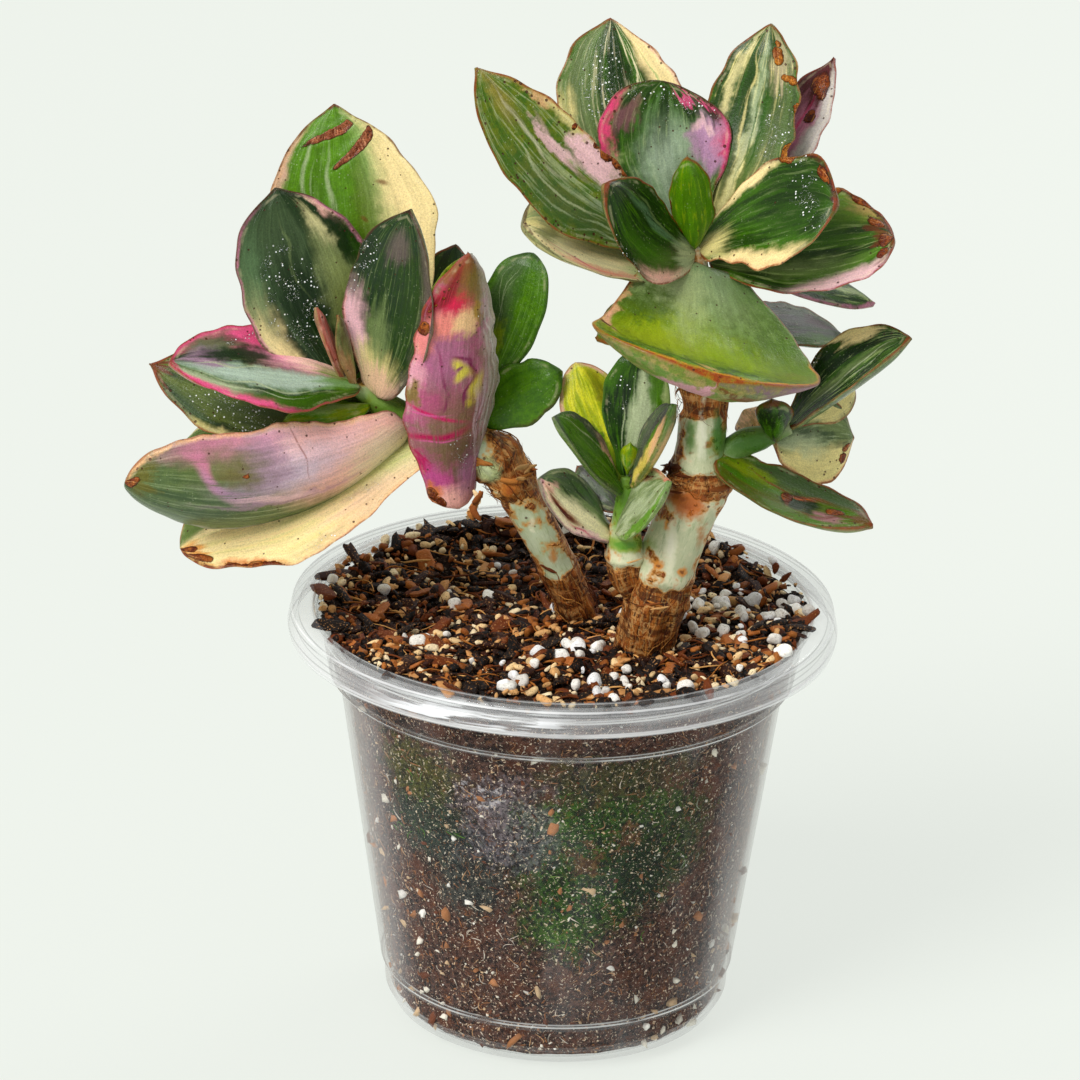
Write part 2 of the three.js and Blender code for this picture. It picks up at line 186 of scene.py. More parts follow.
def makeObject(name, points, faces, material, attributes=None, replaces=(), smooth=True):
    mesh = bpy.data.meshes.new(name)
    points = np.asarray(points, float).reshape(-1, 3)
    mesh.vertices.add(len(points))
    mesh.vertices.foreach_set("co", (points * mm).astype(np.float32).ravel())
    corners = np.concatenate([f.ravel() for f in faces]).astype(np.int32)
    sizes = np.concatenate([np.full(len(f), f.shape[1]) for f in faces])
    mesh.loops.add(len(corners))
    mesh.loops.foreach_set("vertex_index", corners)
    mesh.polygons.add(len(sizes))
    mesh.polygons.foreach_set("loop_start", np.concatenate([[0], np.cumsum(sizes)[:-1]]).astype(np.int32))
    mesh.update(calc_edges=True)
    mesh.validate()
    mesh.polygons.foreach_set("use_smooth", np.full(len(mesh.polygons), smooth))
    for key, values in (attributes or {}).items():
        values = np.asarray(values, np.float32)
        kind = {1: "FLOAT", 3: "FLOAT_VECTOR", 4: "FLOAT_COLOR"}[1 if values.ndim == 1 else values.shape[1]]
        field = {"FLOAT": "value", "FLOAT_VECTOR": "vector", "FLOAT_COLOR": "color"}[kind]
        mesh.attributes.new(key, kind, "POINT").data.foreach_set(field, values.ravel())
    mesh.materials.append(material)
    piece = bpy.data.objects.new(name, mesh)
    bpy.context.scene.collection.objects.link(piece)
    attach(piece, "root")
    if replaces:
        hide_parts(*replaces)
    return piece


def ringFaces(rings, around):  # quads and end fans of a tube; the two end points follow the rings
    here = np.arange(rings - 1)[:, None] * around
    j = np.arange(around)[None]
    k = (j + 1) % around
    quads = np.stack([here + j, here + k, here + around + k, here + around + j], -1).reshape(-1, 4)
    top = (rings - 1) * around
    first, last = rings * around, rings * around + 1
    j, k = j[0], k[0]
    fans = np.concatenate([np.stack([np.full(around, first), k, j], -1),
                           np.stack([np.full(around, last), top + j, top + k], -1)])
    return [quads, fans]


def unit(a):
    return a / np.linalg.norm(a, axis=-1, keepdims=True)


# Leaves. start and end are the ends of the centre line and faces is the way the upper side looks.
# Marks are placed by u, from base 0 to tip 1, and v, from one margin -1 to the other 1:
# patches and underPatches (u, v, half length, half breadth, tone, strength, softness), strokes
# (u, v, u, v, width, tone, strength), scars (u, v, u, v, width), scabs (u, v, half length, half breadth),
# glints, painted highlights on wet spots, like scabs with a strength, margins (tone, width, strength, side, u
# from, u to) and nicks (u, side, depth, half length). rowEnds fills in the last values that a row leaves out.
leafShape = dict(width=14, cup=20, arch=0, sweep=0, peak=0.6, tip=0.62, neck=0.3, thick=3, edge=0.9,
                 swell=1.5, fall=2.1, beak=0.5, fray=0.2)
leafMesh = dict(step=0.8, crowd=1.15, leastShare=0.012, baseThickness=0.35, lump=0.2, groove=0.06,
                wave=0.028, foot=2.5)
# rust holds a scab's dark and warm tones and the tone of its painted highlight streaks.
leafLook = dict(base=("midGreen", "darkGreen"), veins=("paleGreen", 0.4, 14), patches=(), strokes=(),
                scabs=(), glints=(), margins=(("rust", 0.45),), nicks=(), scars=(), dots=0.3, specks=0.3,
                gloss=0.34, under=("greyGreen", "paleGreen"), underShare=0.3, ragged=(4.5, 1.6),
                mottle=0.15, lip=0.2, rust=("6e2a0a", "a8581a", "e8b070"), underPatches=())
rowEnds = dict(patches=(7, (0.8, 0.5)), underPatches=(7, (0.8, 0.5)), strokes=(7, (0.8,)),
               margins=(6, (0.8, 0, -1, 2)))
leafRows = {
    "right_leaf_front": dict(
        start=(22, -15, 157), end=(26, -50.5, 147), faces=(0.3, -0.15, 1), width=42.5, cup=20, arch=7,
        sweep=-0.5, tip=0.42, neck=0.42, swell=1.2, thick=6.2, edge=3.2, beak=0, base=("5e8410", "405c14"),
        mottle=1, veins=("silverGreen", 0.15, 12), specks=1, dots=0.25, lip=0, ragged=(5, 3.5), gloss=0.38,
        under=("5f7c30", "8c8a50"), underShare=0.85, fray=0.1,
        patches=((0.06, 0, 0.2, 1, "6c8464", 0.8, 0.7), (0.5, 0.35, 0.2, 0.55, "8ea80c", 0.8, 0.8),
                 (0.66, -0.35, 0.18, 0.7, "8ea80c", 0.8, 0.8), (0.42, -0.8, 0.4, 0.3, "4a6a20", 0.6, 0.7),
                 (0.62, 0.5, 0.14, 0.4, "a0b01c", 0.7, 0.8), (0.3, 0.14, 0.22, 0.2, "b4bf7c", 0.5, 0.9),
                 (0.2, -0.25, 0.2, 0.5, "9cae74", 0.45, 0.9), (0.14, 0.5, 0.14, 0.5, "b0bc84", 0.5, 0.9),
                 (0.36, 0.98, 0.2, 0.06, "peach"), (0.3, 0.65, 0.12, 0.25, "3c5a18", 0.7, 0.7),
                 (0.8, -0.8, 0.1, 0.2, "7a8420", 0.6, 0.6)),
        strokes=((0.4, 0.98, 0.62, 0.84, 1.4, "f0b090"), (0.5, 1.0, 0.66, 0.78, 0.6, "maroon", 1),
                 (0.95, 0.3, 0.97, 0.05, 1.0, "d8b070")),
        underPatches=((0.93, 0.3, 0.1, 0.26, "c49098", 0.95, 0.3), (0.8, -0.9, 0.16, 0.3, "8d6078", 0.9),
                      (0.45, 0.9, 0.2, 0.3, "f0b890", 0.8, 0.6), (0.95, -0.4, 0.05, 0.2, "6e3410"),
                      (0.7, 0.75, 0.06, 0.3, "8a4a24", 0.6, 0.6)),
        margins=(("d8901c", 0.9, 0.9, 0, 0.55), ("8a2c0c", 0.4, 0.9))),
    "right_leaf_bud": dict(
        start=(22, -15, 160), end=(20, -24, 180), faces=(0, 1, 0.4), width=9.5, cup=40, peak=0.45,
        thick=2.5, base=("brightGreen", "leafGreen"), veins=("lime", 0.6, 8), underShare=0, dots=0.1,
        scabs=((0.42, 0.98, 0.09, 0.14), (0.3, 0.95, 0.05, 0.1))),
    "right_leaf_inner_left": dict(
        start=(22, -15, 159), end=(5.5, -31, 177), faces=(0.3, -0.7, 0.6), width=18, cup=22, sweep=-4,
        peak=0.55, tip=0.5, base=("darkGreen", "deepGreen"), veins=("leafGreen", 0.5, 10), gloss=0.2,
        dots=0.1,
        patches=((0.3, -0.95, 0.22, 0.35, "palePink", 1), (0.5, -0.4, 0.35, 0.3, "midGreen", 0.7, 0.6),
                 (0.1, -0.3, 0.12, 0.8, "silverGreen", 0.8, 0.6)),
        strokes=((0.8, 0.4, 0.2, 0.2, 2.2, "5c7c58", 0.7), (0.72, 0.6, 0.3, 0.35, 0.8, "greyGreen", 0.5)),
        glints=((0.66, -0.95, 0.14, 0.14, 1),), nicks=((0.62, -1, 0.08, 0.05), (0.8, -1, -0.05, 0.03))),
    "right_leaf_inner_right": dict(
        fray=0.4, start=(23, -14, 159), end=(46.8, -26, 172.3), faces=(-0.1, -0.7, 0.8), width=23, cup=20,
        sweep=-2, tip=0.42, base=("midGreen", "darkGreen"), veins=("greyGreen", 0.5, 12), gloss=0.26,
        patches=((0.44, 0.98, 0.4, 0.3, "fae0a0", 1, 0.35), (0.1, 0.25, 0.14, 0.5, "cream", 0.9, 0.6),
                 (0.36, -1.0, 0.24, 0.24, "warmCream", 1, 0.3),
                 (0.7, -0.1, 0.25, 0.5, "deepGreen", 0.6, 0.6)),
        margins=(("maroon", 1.1, 0.95, -1, 0.5), ("peach", 1.2, 0.8, 1, 0.2, 0.75), ("rust", 0.5, 0.9)),
        scabs=((0.66, -0.98, 0.05, 0.1), (0.9, -0.75, 0.04, 0.12)),
        glints=((0.8, -0.25, 0.1, 0.45, 0.8), (0.92, 0.4, 0.06, 0.2, 1), (0.76, -0.9, 0.06, 0.1, 0.8)),
        nicks=((0.74, -1, 0.06, 0.05), (0.88, 1, 0.05, 0.04), (0.62, -1, -0.05, 0.04))),
    "right_leaf_centre": dict(
        start=(21, -12, 161), end=(16, -3, 187.5), faces=(0.1, -1, 0.5), width=26, cup=22, sweep=-2.5,
        tip=0.42, base=("midGreen", "darkGreen"), veins=("greyGreen", 0.7, 10), gloss=0.24, ragged=(6, 2.5),
        patches=((0.45, 0.1, 0.3, 0.45, "a9bba0", 0.75, 0.7),
                 (0.35, -0.9, 0.3, 0.22, "paleGreen", 0.9, 0.4),
                 (0.3, 0.25, 0.2, 0.3, "slateGreen", 0.6, 0.6), (0.7, -1.0, 0.2, 0.2, "hotPink", 1),
                 (0.82, -0.6, 0.08, 0.2, "mauve", 0.6), (0.58, 0.78, 0.26, 0.34, "lilac", 1, 0.4),
                 (0.66, 1.0, 0.26, 0.2, "lilacPink", 0.9), (0.52, 1.0, 0.22, 0.1, "deepPink", 0.7),
                 (0.75, 0.62, 0.06, 0.14, "pinkWhite", 0.7, 0.6), (0.95, 0.6, 0.03, 0.3, "ee5c8e", 0.9),
                 (0.9, 0.9, 0.05, 0.2, "maroon", 0.6, 0.6)),
        margins=(("hotPink", 1.2, 0.9, -1, 0.48, 0.84), ("deepPink", 0.9, 0.9, 1, 0.3, 0.84),
                 ("brown", 0.45, 0.8)), glints=((0.93, -0.2, 0.06, 0.7, 1), (0.9, 0.6, 0.06, 0.25, 1)),
        dots=0.6, nicks=((0.93, 1, 0.04, 0.03), (0.8, 1, -0.03, 0.1))),
    "right_leaf_far_left": dict(
        start=(20, -13, 159), end=(-18, -18, 194), faces=(0.4, -0.8, 0.5), width=19.5, cup=30, sweep=-5.2,
        peak=0.55, tip=0.74, base=("66760f", "42660f"), veins=("b4bc90", 0.5, 9), dots=0.9, mottle=0.7,
        specks=0.6,
        patches=((0.47, 0.72, 0.13, 0.32, "pinkWhite", 1, 0.3), (0.78, 0.85, 0.05, 0.12, "peach", 0.7),
                 (0.9, 0.0, 0.1, 0.35, "tan", 0.3, 0.6), (0.64, 0.35, 0.12, 0.1, "pinkWhite", 0.8, 0.4),
                 (0.35, -0.5, 0.3, 0.35, "slateGreen", 0.6, 0.7), (0.66, 0.95, 0.1, 0.15, "cream", 0.7)),
        strokes=((0.92, 0.1, 0.55, 0.02, 1.0, "c9c4a4", 0.6), (0.85, -0.25, 0.3, -0.35, 0.5, "b4bc90", 0.6),
                 (0.6, -0.6, 0.1, -0.5, 0.6, "a0ae84", 0.6), (0.42, -0.1, 0.05, -0.2, 1.6, "a8b494", 0.7),
                 (0.4, 0.2, 0.05, 0.0, 0.9, "a8b494", 0.7), (0.4, -0.8, 0.05, -0.7, 0.6, "a0ae84", 0.6),
                 (0.72, 0.5, 0.5, 0.3, 1.2, "pinkWhite", 0.7)),
        scabs=((0.5, 1.0, 0.015, 0.08), (0.44, 1.0, 0.03, 0.12), (0.38, 1.0, 0.03, 0.12),
               (0.33, 1.0, 0.02, 0.1), (0.62, 0.93, 0.01, 0.06)),
        margins=(("tan", 0.9, 0.7, 1, 0.3), ("rust", 0.5, 0.9)), nicks=((0.7, 1, 0.06, 0.05),)),
    "right_leaf_low_left": dict(
        start=(19, -13, 153.5), end=(-9, -20, 165.3), faces=(0.1, -0.3, 1), width=27, cup=30, peak=0.58,
        tip=0.36, base=("paleGreen", "cream"), veins=("cream", 0.5, 10), dots=0.75, specks=0.15,
        patches=((0.6, -0.6, 0.5, 0.4, "ead9a8"), (0.15, -0.3, 0.2, 0.9, "paleGreen", 0.8, 0.6),
                 (0.6, 0.5, 0.5, 0.5, "greyGreen", 0.6, 0.6), (0.9, -0.3, 0.07, 0.35, "oliveGreen", 0.7),
                 (0.55, -0.78, 0.3, 0.12, "coral", 0.6, 0.6)),
        strokes=((0.86, -0.62, 0.6, -0.78, 0.6, "deepPink"), (0.62, -0.77, 0.35, -0.85, 0.5, "coral")),
        margins=(("brown", 0.6, 0.8),)),
    "right_leaf_low_right": dict(
        fray=0.4, start=(25, -11, 156), end=(58, -16, 163), faces=(0, -0.6, 1), width=24, cup=22, sweep=1,
        tip=0.4, neck=0.25, base=("leafGreen", "darkGreen"), veins=("paleGreen", 0.7, 12), dots=0.45,
        patches=((0.75, 0.9, 0.24, 0.26, "pinkWhite", 0.95, 0.4),
                 (0.78, -0.75, 0.22, 0.36, "6c8a1c", 0.8, 0.6), (0.86, -0.9, 0.08, 0.3, "c49a60", 0.7, 0.6),
                 (0.4, -0.4, 0.4, 0.4, "3f7010", 0.7, 0.6), (0.97, 0.0, 0.05, 0.9, "burnt", 0.8, 0.4),
                 (0.4, 0.4, 0.35, 0.2, "paleGreen", 0.4, 0.6)),
        scabs=((0.93, -0.5, 0.04, 0.14), (0.97, 0.2, 0.03, 0.25), (0.95, 0.62, 0.03, 0.12),
               (0.86, -0.95, 0.05, 0.1), (0.7, -0.97, 0.05, 0.08)),
        margins=(("brown", 1.2, 0.9, -1, 0.5), ("lilacPink", 0.8, 0.8, 1, 0.4, 0.95), ("rust", 0.5, 0.9)),
        nicks=((0.9, 1, 0.05, 0.03), (0.82, -1, 0.05, 0.04), (0.93, -1, 0.08, 0.03))),
    "right_leaf_tall_right": dict(
        start=(24, -11, 159), end=(35, 0, 198), faces=(-0.3, -1, 0.2), width=18.5, cup=20, sweep=2,
        peak=0.55, tip=0.66, base=("midGreen", "darkGreen"), veins=("cream", 0.7, 9), dots=0.4,
        ragged=(7, 1.6),
        patches=((0.5, -0.62, 0.55, 0.12, "d8cc90", 0.85, 0.6),
                 (0.5, 0.02, 0.5, 0.13, "silverGreen", 0.7, 0.7), (0.22, 0.1, 0.24, 0.5, "cream", 0.6, 0.7),
                 (0.6, -0.3, 0.35, 0.2, "darkGreen", 0.9), (0.5, 0.28, 0.35, 0.12, "34600c", 0.85),
                 (0.6, -0.88, 0.35, 0.1, "darkGreen", 0.9, 0.4),
                 (0.55, 0.6, 0.22, 0.3, "greyGreen", 0.6, 0.6), (0.86, 0.55, 0.08, 0.3, "d8c49c", 0.6)),
        strokes=((0.9, -0.2, 0.4, -0.15, 0.5, "cream", 0.6), (0.8, 0.3, 0.3, 0.2, 0.5, "2c5808"),
                 (0.82, -0.4, 0.3, -0.3, 0.6, "2c5808"), (0.8, 0.1, 0.3, 0.05, 0.4, "2c5808", 0.7)),
        scabs=((0.885, 0.42, 0.02, 0.16), (0.87, 0.5, 0.02, 0.14), (0.79, 0.7, 0.015, 0.14),
               (0.785, 0.85, 0.02, 0.12), (0.68, 1.0, 0.02, 0.12), (0.92, 0.5, 0.012, 0.12),
               (0.5, 0.98, 0.035, 0.1)), rust=("8a4410", "c87c24", "f0c080"),
        glints=((0.58, 0.6, 0.16, 0.3, 0.7),), nicks=((0.6, 1, 0.07, 0.03), (0.5, 1, 0.08, 0.04))),
    "right_leaf_tall_left": dict(
        start=(20, -10, 159), end=(6, 8, 196), faces=(0.1, -1, 0.2), width=24.5, cup=15, sweep=-4, tip=0.7,
        base=("darkGreen", "midGreen"), veins=("paleCream", 0.75, 13), gloss=0.28, ragged=(7, 1.4),
        patches=((0.75, 0.98, 0.4, 0.42, "warmCream", 1, 0.25),
                 (0.72, -0.62, 0.4, 0.32, "greyGreen", 0.65, 0.6), (0.55, -0.95, 0.18, 0.24, "cream", 0.9),
                 (0.8, 0.1, 0.25, 0.2, "deepGreen", 0.7, 0.4)),
        strokes=((0.85, 0.68, 0.55, 0.72, 0.5, "paleGreen"), (0.9, 0.4, 0.5, 0.35, 0.4, "paleCream", 0.7)),
        glints=((0.8, -0.2, 0.2, 0.4, 0.5),),
        margins=(("palePink", 0.9, 0.7, 1, 0.4, 0.92), ("rust", 0.5, 0.85))),
    "right_leaf_edge": dict(
        fray=0.4, start=(25, -9, 158), end=(47, 6, 190), faces=(-0.6, -0.8, 0.2), width=12.5, cup=30,
        sweep=2, peak=0.55, tip=0.7, base=("mauve", "lilacPink"), veins=("plum", 0.5, 8),
        under=("lilac", "mauve"),
        patches=((0.92, -0.1, 0.14, 1.2, "maroon", 1, 0.3), (0.62, 0.85, 0.35, 0.4, "greyWhite", 0.9, 0.4),
                 (0.6, -0.8, 0.3, 0.35, "maroon", 0.6, 0.6)),
        strokes=((0.78, 0.15, 0.35, -0.1, 0.7, "deepPink"),),
        scabs=((0.88, 0.1, 0.05, 0.5), (0.84, 0.4, 0.03, 0.2), (0.72, 0.3, 0.03, 0.14)),
        rust=("5a1c0c", "9a4a18", "e0a050")),
    "right_leaf_under_right": dict(
        start=(26, -9, 156), end=(56, 2, 144), faces=(0, -0.4, 1), width=10, cup=15,
        veins=("paleGreen", 0.7, 8), patches=((0.8, 0.0, 0.3, 0.2, "paleGreen"),),
        margins=(("lilacPink", 0.8, 0.8),)),
    "right_leaf_under_left": dict(
        start=(22, -11, 149), end=(5, -12, 141), faces=(0, -0.4, 1), width=12,
        base=("leafGreen", "oliveGreen")),
    "right_leaf_lower": dict(
        start=(26, -11, 143.5), end=(51, 4, 136.5), faces=(0, -0.5, 1), width=12.5, cup=25, sweep=-1,
        base=("slate", "slateGreen"), veins=("purpleGrey", 0.5, 10), dots=0.6,
        patches=((0.75, 0.8, 0.2, 0.3, "leafGreen"), (0.8, -0.3, 0.1, 0.3, "plum", 0.6))),
    "right_leaf_back": dict(
        start=(24, -10, 157), end=(31, 28, 160), faces=(0, -0.2, 1), width=20,
        base=("midGreen", "leafGreen"),
        patches=((0.6, 0.9, 0.4, 0.4, "warmCream", 1, 0.35), (0.5, -0.9, 0.3, 0.3, "palePink", 0.9))),
    "right_leaf_back_low": dict(
        start=(22, -9, 149), end=(13, 25, 144), faces=(0, 0.1, 1), width=17, base=("midGreen", "darkGreen"),
        patches=((0.55, -0.8, 0.4, 0.35, "cream", 0.9, 0.4),)),
    "side_leaf_long": dict(
        start=(41, -14, 125), end=(62, -14, 143), faces=(-0.5, -0.3, 0.9), width=17, cup=42, sweep=-2.2,
        peak=0.5, base=("midGreen", "deepGreen"), veins=("paleGreen", 0.75, 9), gloss=0.24, ragged=(6, 1.2),
        patches=((0.7, -0.95, 0.14, 0.34, "warmCream", 1, 0.3),
                 (0.45, 0.1, 0.4, 0.18, "greyGreen", 0.6, 0.6), (0.3, -0.7, 0.25, 0.4, "deepGreen")),
        strokes=((0.95, 0.1, 0.2, 0.3, 0.45, "silverGreen"), (0.9, 0.4, 0.3, 0.6, 0.4, "silverGreen", 0.7)),
        glints=((0.34, -0.9, 0.14, 0.16, 1),)),
    "side_leaf_low": dict(
        start=(27, -18, 119.5), end=(56, -24, 110), faces=(0, -0.3, 1), width=15, cup=35, arch=2.4,
        peak=0.55, neck=0.58, base=("leafGreen", "oliveGreen"), veins=("olive", 0.4, 9), dots=0.5,
        patches=((0.65, -0.75, 0.45, 0.4, "slateGreen", 0.8, 0.4),
                 (0.58, 0.08, 0.12, 0.34, "deepGreen", 0.95, 0.3), (0.75, 0.5, 0.08, 0.3, "lilacPink", 0.6),
                 (0.2, -0.3, 0.15, 0.3, "lime", 0.6), (0.95, 0, 0.06, 1, "burnt", 0.7)),
        strokes=((0.22, -0.5, 0.48, -0.25, 0.7, "rust"), (0.46, -0.25, 0.7, -0.3, 1.3, "rust", 0.9),
                 (0.45, -0.2, 0.5, 0.35, 1.0, "rust"), (0.6, 0.5, 0.9, 0.3, 1.0, "burnt"),
                 (0.5, -0.2, 0.6, -0.28, 0.4, "orange")),
        scabs=((0.78, 0.05, 0.05, 0.2), (0.48, 0.05, 0.03, 0.2)), margins=(("rust", 0.6, 0.9),)),
    "side_leaf_bud": dict(
        start=(38.3, -15, 123), end=(37, -22, 133), faces=(0, 1, 0.3), width=7.5, cup=30, tip=0.5,
        base=("midGreen", "deepGreen"), underShare=0, veins=("leafGreen", 0.5, 6), dots=0.1,
        margins=(("burnt", 0.8, 0.8),)),
    "side_leaf_round": dict(
        start=(38, -12.5, 121.5), end=(52.8, -4, 119.6), faces=(0, -1, 0.3), width=15.5, cup=15, peak=0.55,
        tip=0.5, neck=0.5, base=("greyGreen", "slateGreen"), veins=("silverGreen", 0.4, 9), dots=0.5,
        patches=((0.5, 0.75, 0.6, 0.62, "cream", 1, 0.35), (0.3, 0.1, 0.3, 0.3, "silverGreen", 0.7, 0.6)),
        scabs=((0.9, 0.35, 0.05, 0.12), (0.85, 0.62, 0.04, 0.12)),
        margins=(("peach", 0.8, 0.7, 1), ("rust", 0.45, 0.9)), nicks=((0.95, 1, 0.08, 0.04),)),
    "side_leaf_small": dict(
        start=(36, -12, 123), end=(33, -2.5, 123.5), faces=(0, -1, 0.3), width=7, cup=15,
        base=("tan", "peach"), veins=("cream", 0.4, 6), margins=(("burnt", 0.6, 0.8),)),
    "side_leaf_back": dict(
        start=(41, -12, 125), end=(53, 2, 128), faces=(0, -1, 0.4), width=9, cup=15,
        patches=((0.6, 0.6, 0.4, 0.4, "cream", 0.9),)),
    "middle_leaf_bud": dict(
        start=(11, -15.2, 115.5), end=(11.4, -15.6, 121.5), faces=(0.1, 1, 0.3), width=3.6, cup=25, tip=0.5,
        thick=2, base=("brightGreen", "lime"), underShare=0, dots=0, veins=("lime", 0.4, 5),
        margins=(("leafGreen", 0.3, 0.4),)),
    "middle_leaf_front_left": dict(
        start=(10, -16, 112), end=(-2.6, -25.2, 130), faces=(0.5, -0.4, 0.8), width=12.4, cup=35, peak=0.55,
        base=("leafGreen", "midGreen"), veins=("greyGreen", 0.4, 8), gloss=0.26, dots=0.15,
        patches=((0.35, 0.95, 0.16, 0.34, "palePink", 1, 0.3), (0.6, 0.85, 0.3, 0.2, "slate", 0.8, 0.4)),
        strokes=((0.9, 0.35, 0.3, 0.5, 0.45, "silverGreen"),),
        margins=(("slateGreen", 1.2, 0.85, -1, 0.1), ("slate", 0.4, 0.7))),
    "middle_leaf_front_right": dict(
        start=(12, -16, 113), end=(19, -20, 131), faces=(-0.7, -0.3, 0.6), width=10, cup=35, peak=0.55,
        base=("slateGreen", "slate"), veins=("greyGreen", 0.5, 7), gloss=0.28, dots=0.15,
        patches=((0.42, 0.7, 0.5, 0.42, "peach", 1, 0.4), (0.3, 0.55, 0.3, 0.3, "yellowLime", 0.6, 0.6),
                 (0.7, 0.3, 0.22, 0.16, "leafGreen", 0.9, 0.3)),
        margins=(("midGreen", 0.9, 0.85, 1), ("slate", 0.5, 0.8, -1))),
    "middle_leaf_tall": dict(
        start=(11, -14, 114), end=(13, -10, 138), faces=(-0.1, -1, 0.3), width=13, cup=15, tip=0.5,
        base=("midGreen", "deepGreen"), veins=("leafGreen", 0.5, 9), gloss=0.2, dots=0.05, ragged=(7, 1.2),
        patches=((0.42, 0.25, 0.5, 0.28, "silverGreen", 0.95, 0.4), (0.75, 0.6, 0.22, 0.2, "leafGreen"),
                 (0.6, 0.9, 0.3, 0.14, "paleGreen", 0.7), (0.3, -0.1, 0.3, 0.14, "silverGreen", 0.7)),
        strokes=((0.7, -0.15, 0.3, -0.1, 0.4, "silverGreen", 0.7),
                 (0.55, -0.45, 0.2, -0.3, 0.4, "silverGreen", 0.6)),
        glints=((0.76, -0.45, 0.12, 0.3, 0.8),), margins=(("midGreen", 0.4, 0.5),)),
    "middle_leaf_yellow": dict(
        start=(10, -14, 113), end=(1, -2, 132), faces=(0.3, -1, 0.3), width=11.5, cup=15, peak=0.62,
        tip=0.5, base=("yellowLime", "lime"), veins=("yellowLime", 0.4, 7), dots=0.15, specks=0.1,
        patches=((0.4, -0.5, 0.16, 0.5, "midGreen", 0.95, 0.3), (0.6, 0.55, 0.35, 0.3, "olive", 0.7),
                 (0.15, 0, 0.15, 0.8, "leafGreen", 0.7)),
        margins=(("palePink", 0.9, 0.8, 0, 0.4), ("rust", 0.3, 0.6, 0, 0.4))),
    "middle_leaf_low_left": dict(
        start=(9, -14, 102), end=(-5, -20, 115.8), faces=(0.3, -0.6, 0.8), width=13, cup=20, tip=0.5,
        base=("greyGreen", "slateGreen"), veins=("slate", 0.6, 8), dots=0.5,
        patches=((0.45, -0.55, 0.5, 0.55, "paleCream", 0.95, 0.4), (0.5, 0.6, 0.25, 0.2, "midGreen", 0.6),
                 (0.3, -0.9, 0.3, 0.2, "pinkWhite"), (0.9, -0.3, 0.08, 0.4, "palePink", 0.7)),
        strokes=((0.9, -0.45, 0.5, -0.72, 1.9, "rust", 1), (0.86, -0.5, 0.55, -0.7, 1.0, "maroon", 1),
                 (0.55, -0.86, 0.3, -0.92, 0.5, "deepPink", 0.7), (0.7, 0.5, 0.5, 0.3, 0.5, "blackGreen"),
                 (0.6, 0.75, 0.4, 0.55, 0.5, "blackGreen"), (0.8, 0.15, 0.7, 0.1, 0.5, "blackGreen")),
        margins=(("lilacPink", 0.7, 0.6, -1), ("slate", 0.4, 0.7)), nicks=((0.8, -1, 0.06, 0.08),)),
    "middle_leaf_low_right": dict(
        start=(9.5, -17, 104), end=(18.5, -24, 117.5), faces=(-0.5, -0.5, 0.8), width=13.5, cup=32,
        peak=0.5, tip=0.55, base=("greyGreen", "silverGreen"), veins=("slateGreen", 0.6, 8), dots=0.5,
        patches=((0.6, 0.8, 0.45, 0.2, "brightGreen", 0.9, 0.3), (0.5, 0.1, 0.25, 0.2, "silverGreen", 0.6)),
        strokes=((0.85, -0.6, 0.45, -0.85, 1.2, "rust", 0.9), (0.8, -0.7, 0.6, -0.8, 0.7, "maroon", 1)),
        margins=(("coral", 0.9, 0.7, -1), ("leafGreen", 0.5, 0.6, 1))),
    "middle_leaf_back": dict(
        start=(10, -13, 107), end=(2, -6, 113), faces=(0.3, -1, 0.3), width=9, cup=15,
        base=("slate", "slateGreen"), veins=("greyGreen", 0.5, 8)),
    "left_leaf_front": dict(
        start=(-20.5, -10, 106.2), end=(-19, -22, 160), faces=(-0.45, 0.9, 0), width=20.5, cup=40, sweep=1,
        peak=0.48, tip=0.64, neck=0.5, fall=1.9, base=("b4587e", "8c625c"), mottle=0.6,
        veins=("d8a8b8", 0.3, 12), dots=0.5, underShare=0, ragged=(2.5, 2.2), gloss=0.26, specks=0.3,
        patches=((0.38, 0.1, 0.1, 0.5, "7a6238", 0.7, 0.7), (0.62, 0.4, 0.1, 0.5, "b0668a", 0.8, 0.6),
                 (0.24, 0.2, 0.08, 0.8, "74603c", 0.75, 0.7), (0.52, 0.95, 0.1, 0.3, "f0a8b8", 0.8, 0.6),
                 (0.45, 0.6, 0.05, 0.4, "b8447a", 0.6, 0.6), (0.67, 0.85, 0.06, 0.25, "f08a84", 0.9, 0.6),
                 (0.755, 0.45, 0.05, 0.35, "f08a7c", 0.95), (0.77, 0.0, 0.06, 0.26, "f5c890", 0.95),
                 (0.79, -0.32, 0.06, 0.16, "b08a30", 0.95), (0.845, 0.35, 0.045, 0.5, "d81a48", 1),
                 (0.95, 0.1, 0.07, 1.0, "8a5412", 0.9), (0.9, -0.35, 0.07, 0.5, "806c1c", 0.85),
                 (0.48, 0.85, 0.05, 0.2, "7a6a1e", 0.9, 0.4), (0.12, 0.75, 0.1, 0.5, "c0488a", 0.9, 0.6),
                 (0.03, 0.1, 0.07, 1.2, "f4b4a8", 1), (0.07, 0.75, 0.05, 0.25, "d0701c", 0.9, 0.4),
                 (0.56, -0.9, 0.5, 0.36, "b4aca0", 0.8, 0.9), (0.13, -0.4, 0.1, 0.4, "a87094", 0.7, 0.6),
                 (0.2, 0.95, 0.05, 0.25, "b80a5c", 1, 0.4)),
        strokes=((0.97, 0.45, 0.73, 0.98, 3.0, "7c0c18", 1), (0.44, 0.98, 0.37, 0.05, 0.8, "c4105c", 1),
                 (0.41, 0.98, 0.4, 0.3, 0.5, "d45a94", 0.9), (0.305, 0.95, 0.325, 0.0, 1.7, "b0084e", 1),
                 (0.29, 0.7, 0.3, 0.1, 0.5, "d45a94", 0.9), (0.25, 0.9, 0.2, 0.6, 0.7, "b0084e", 0.9),
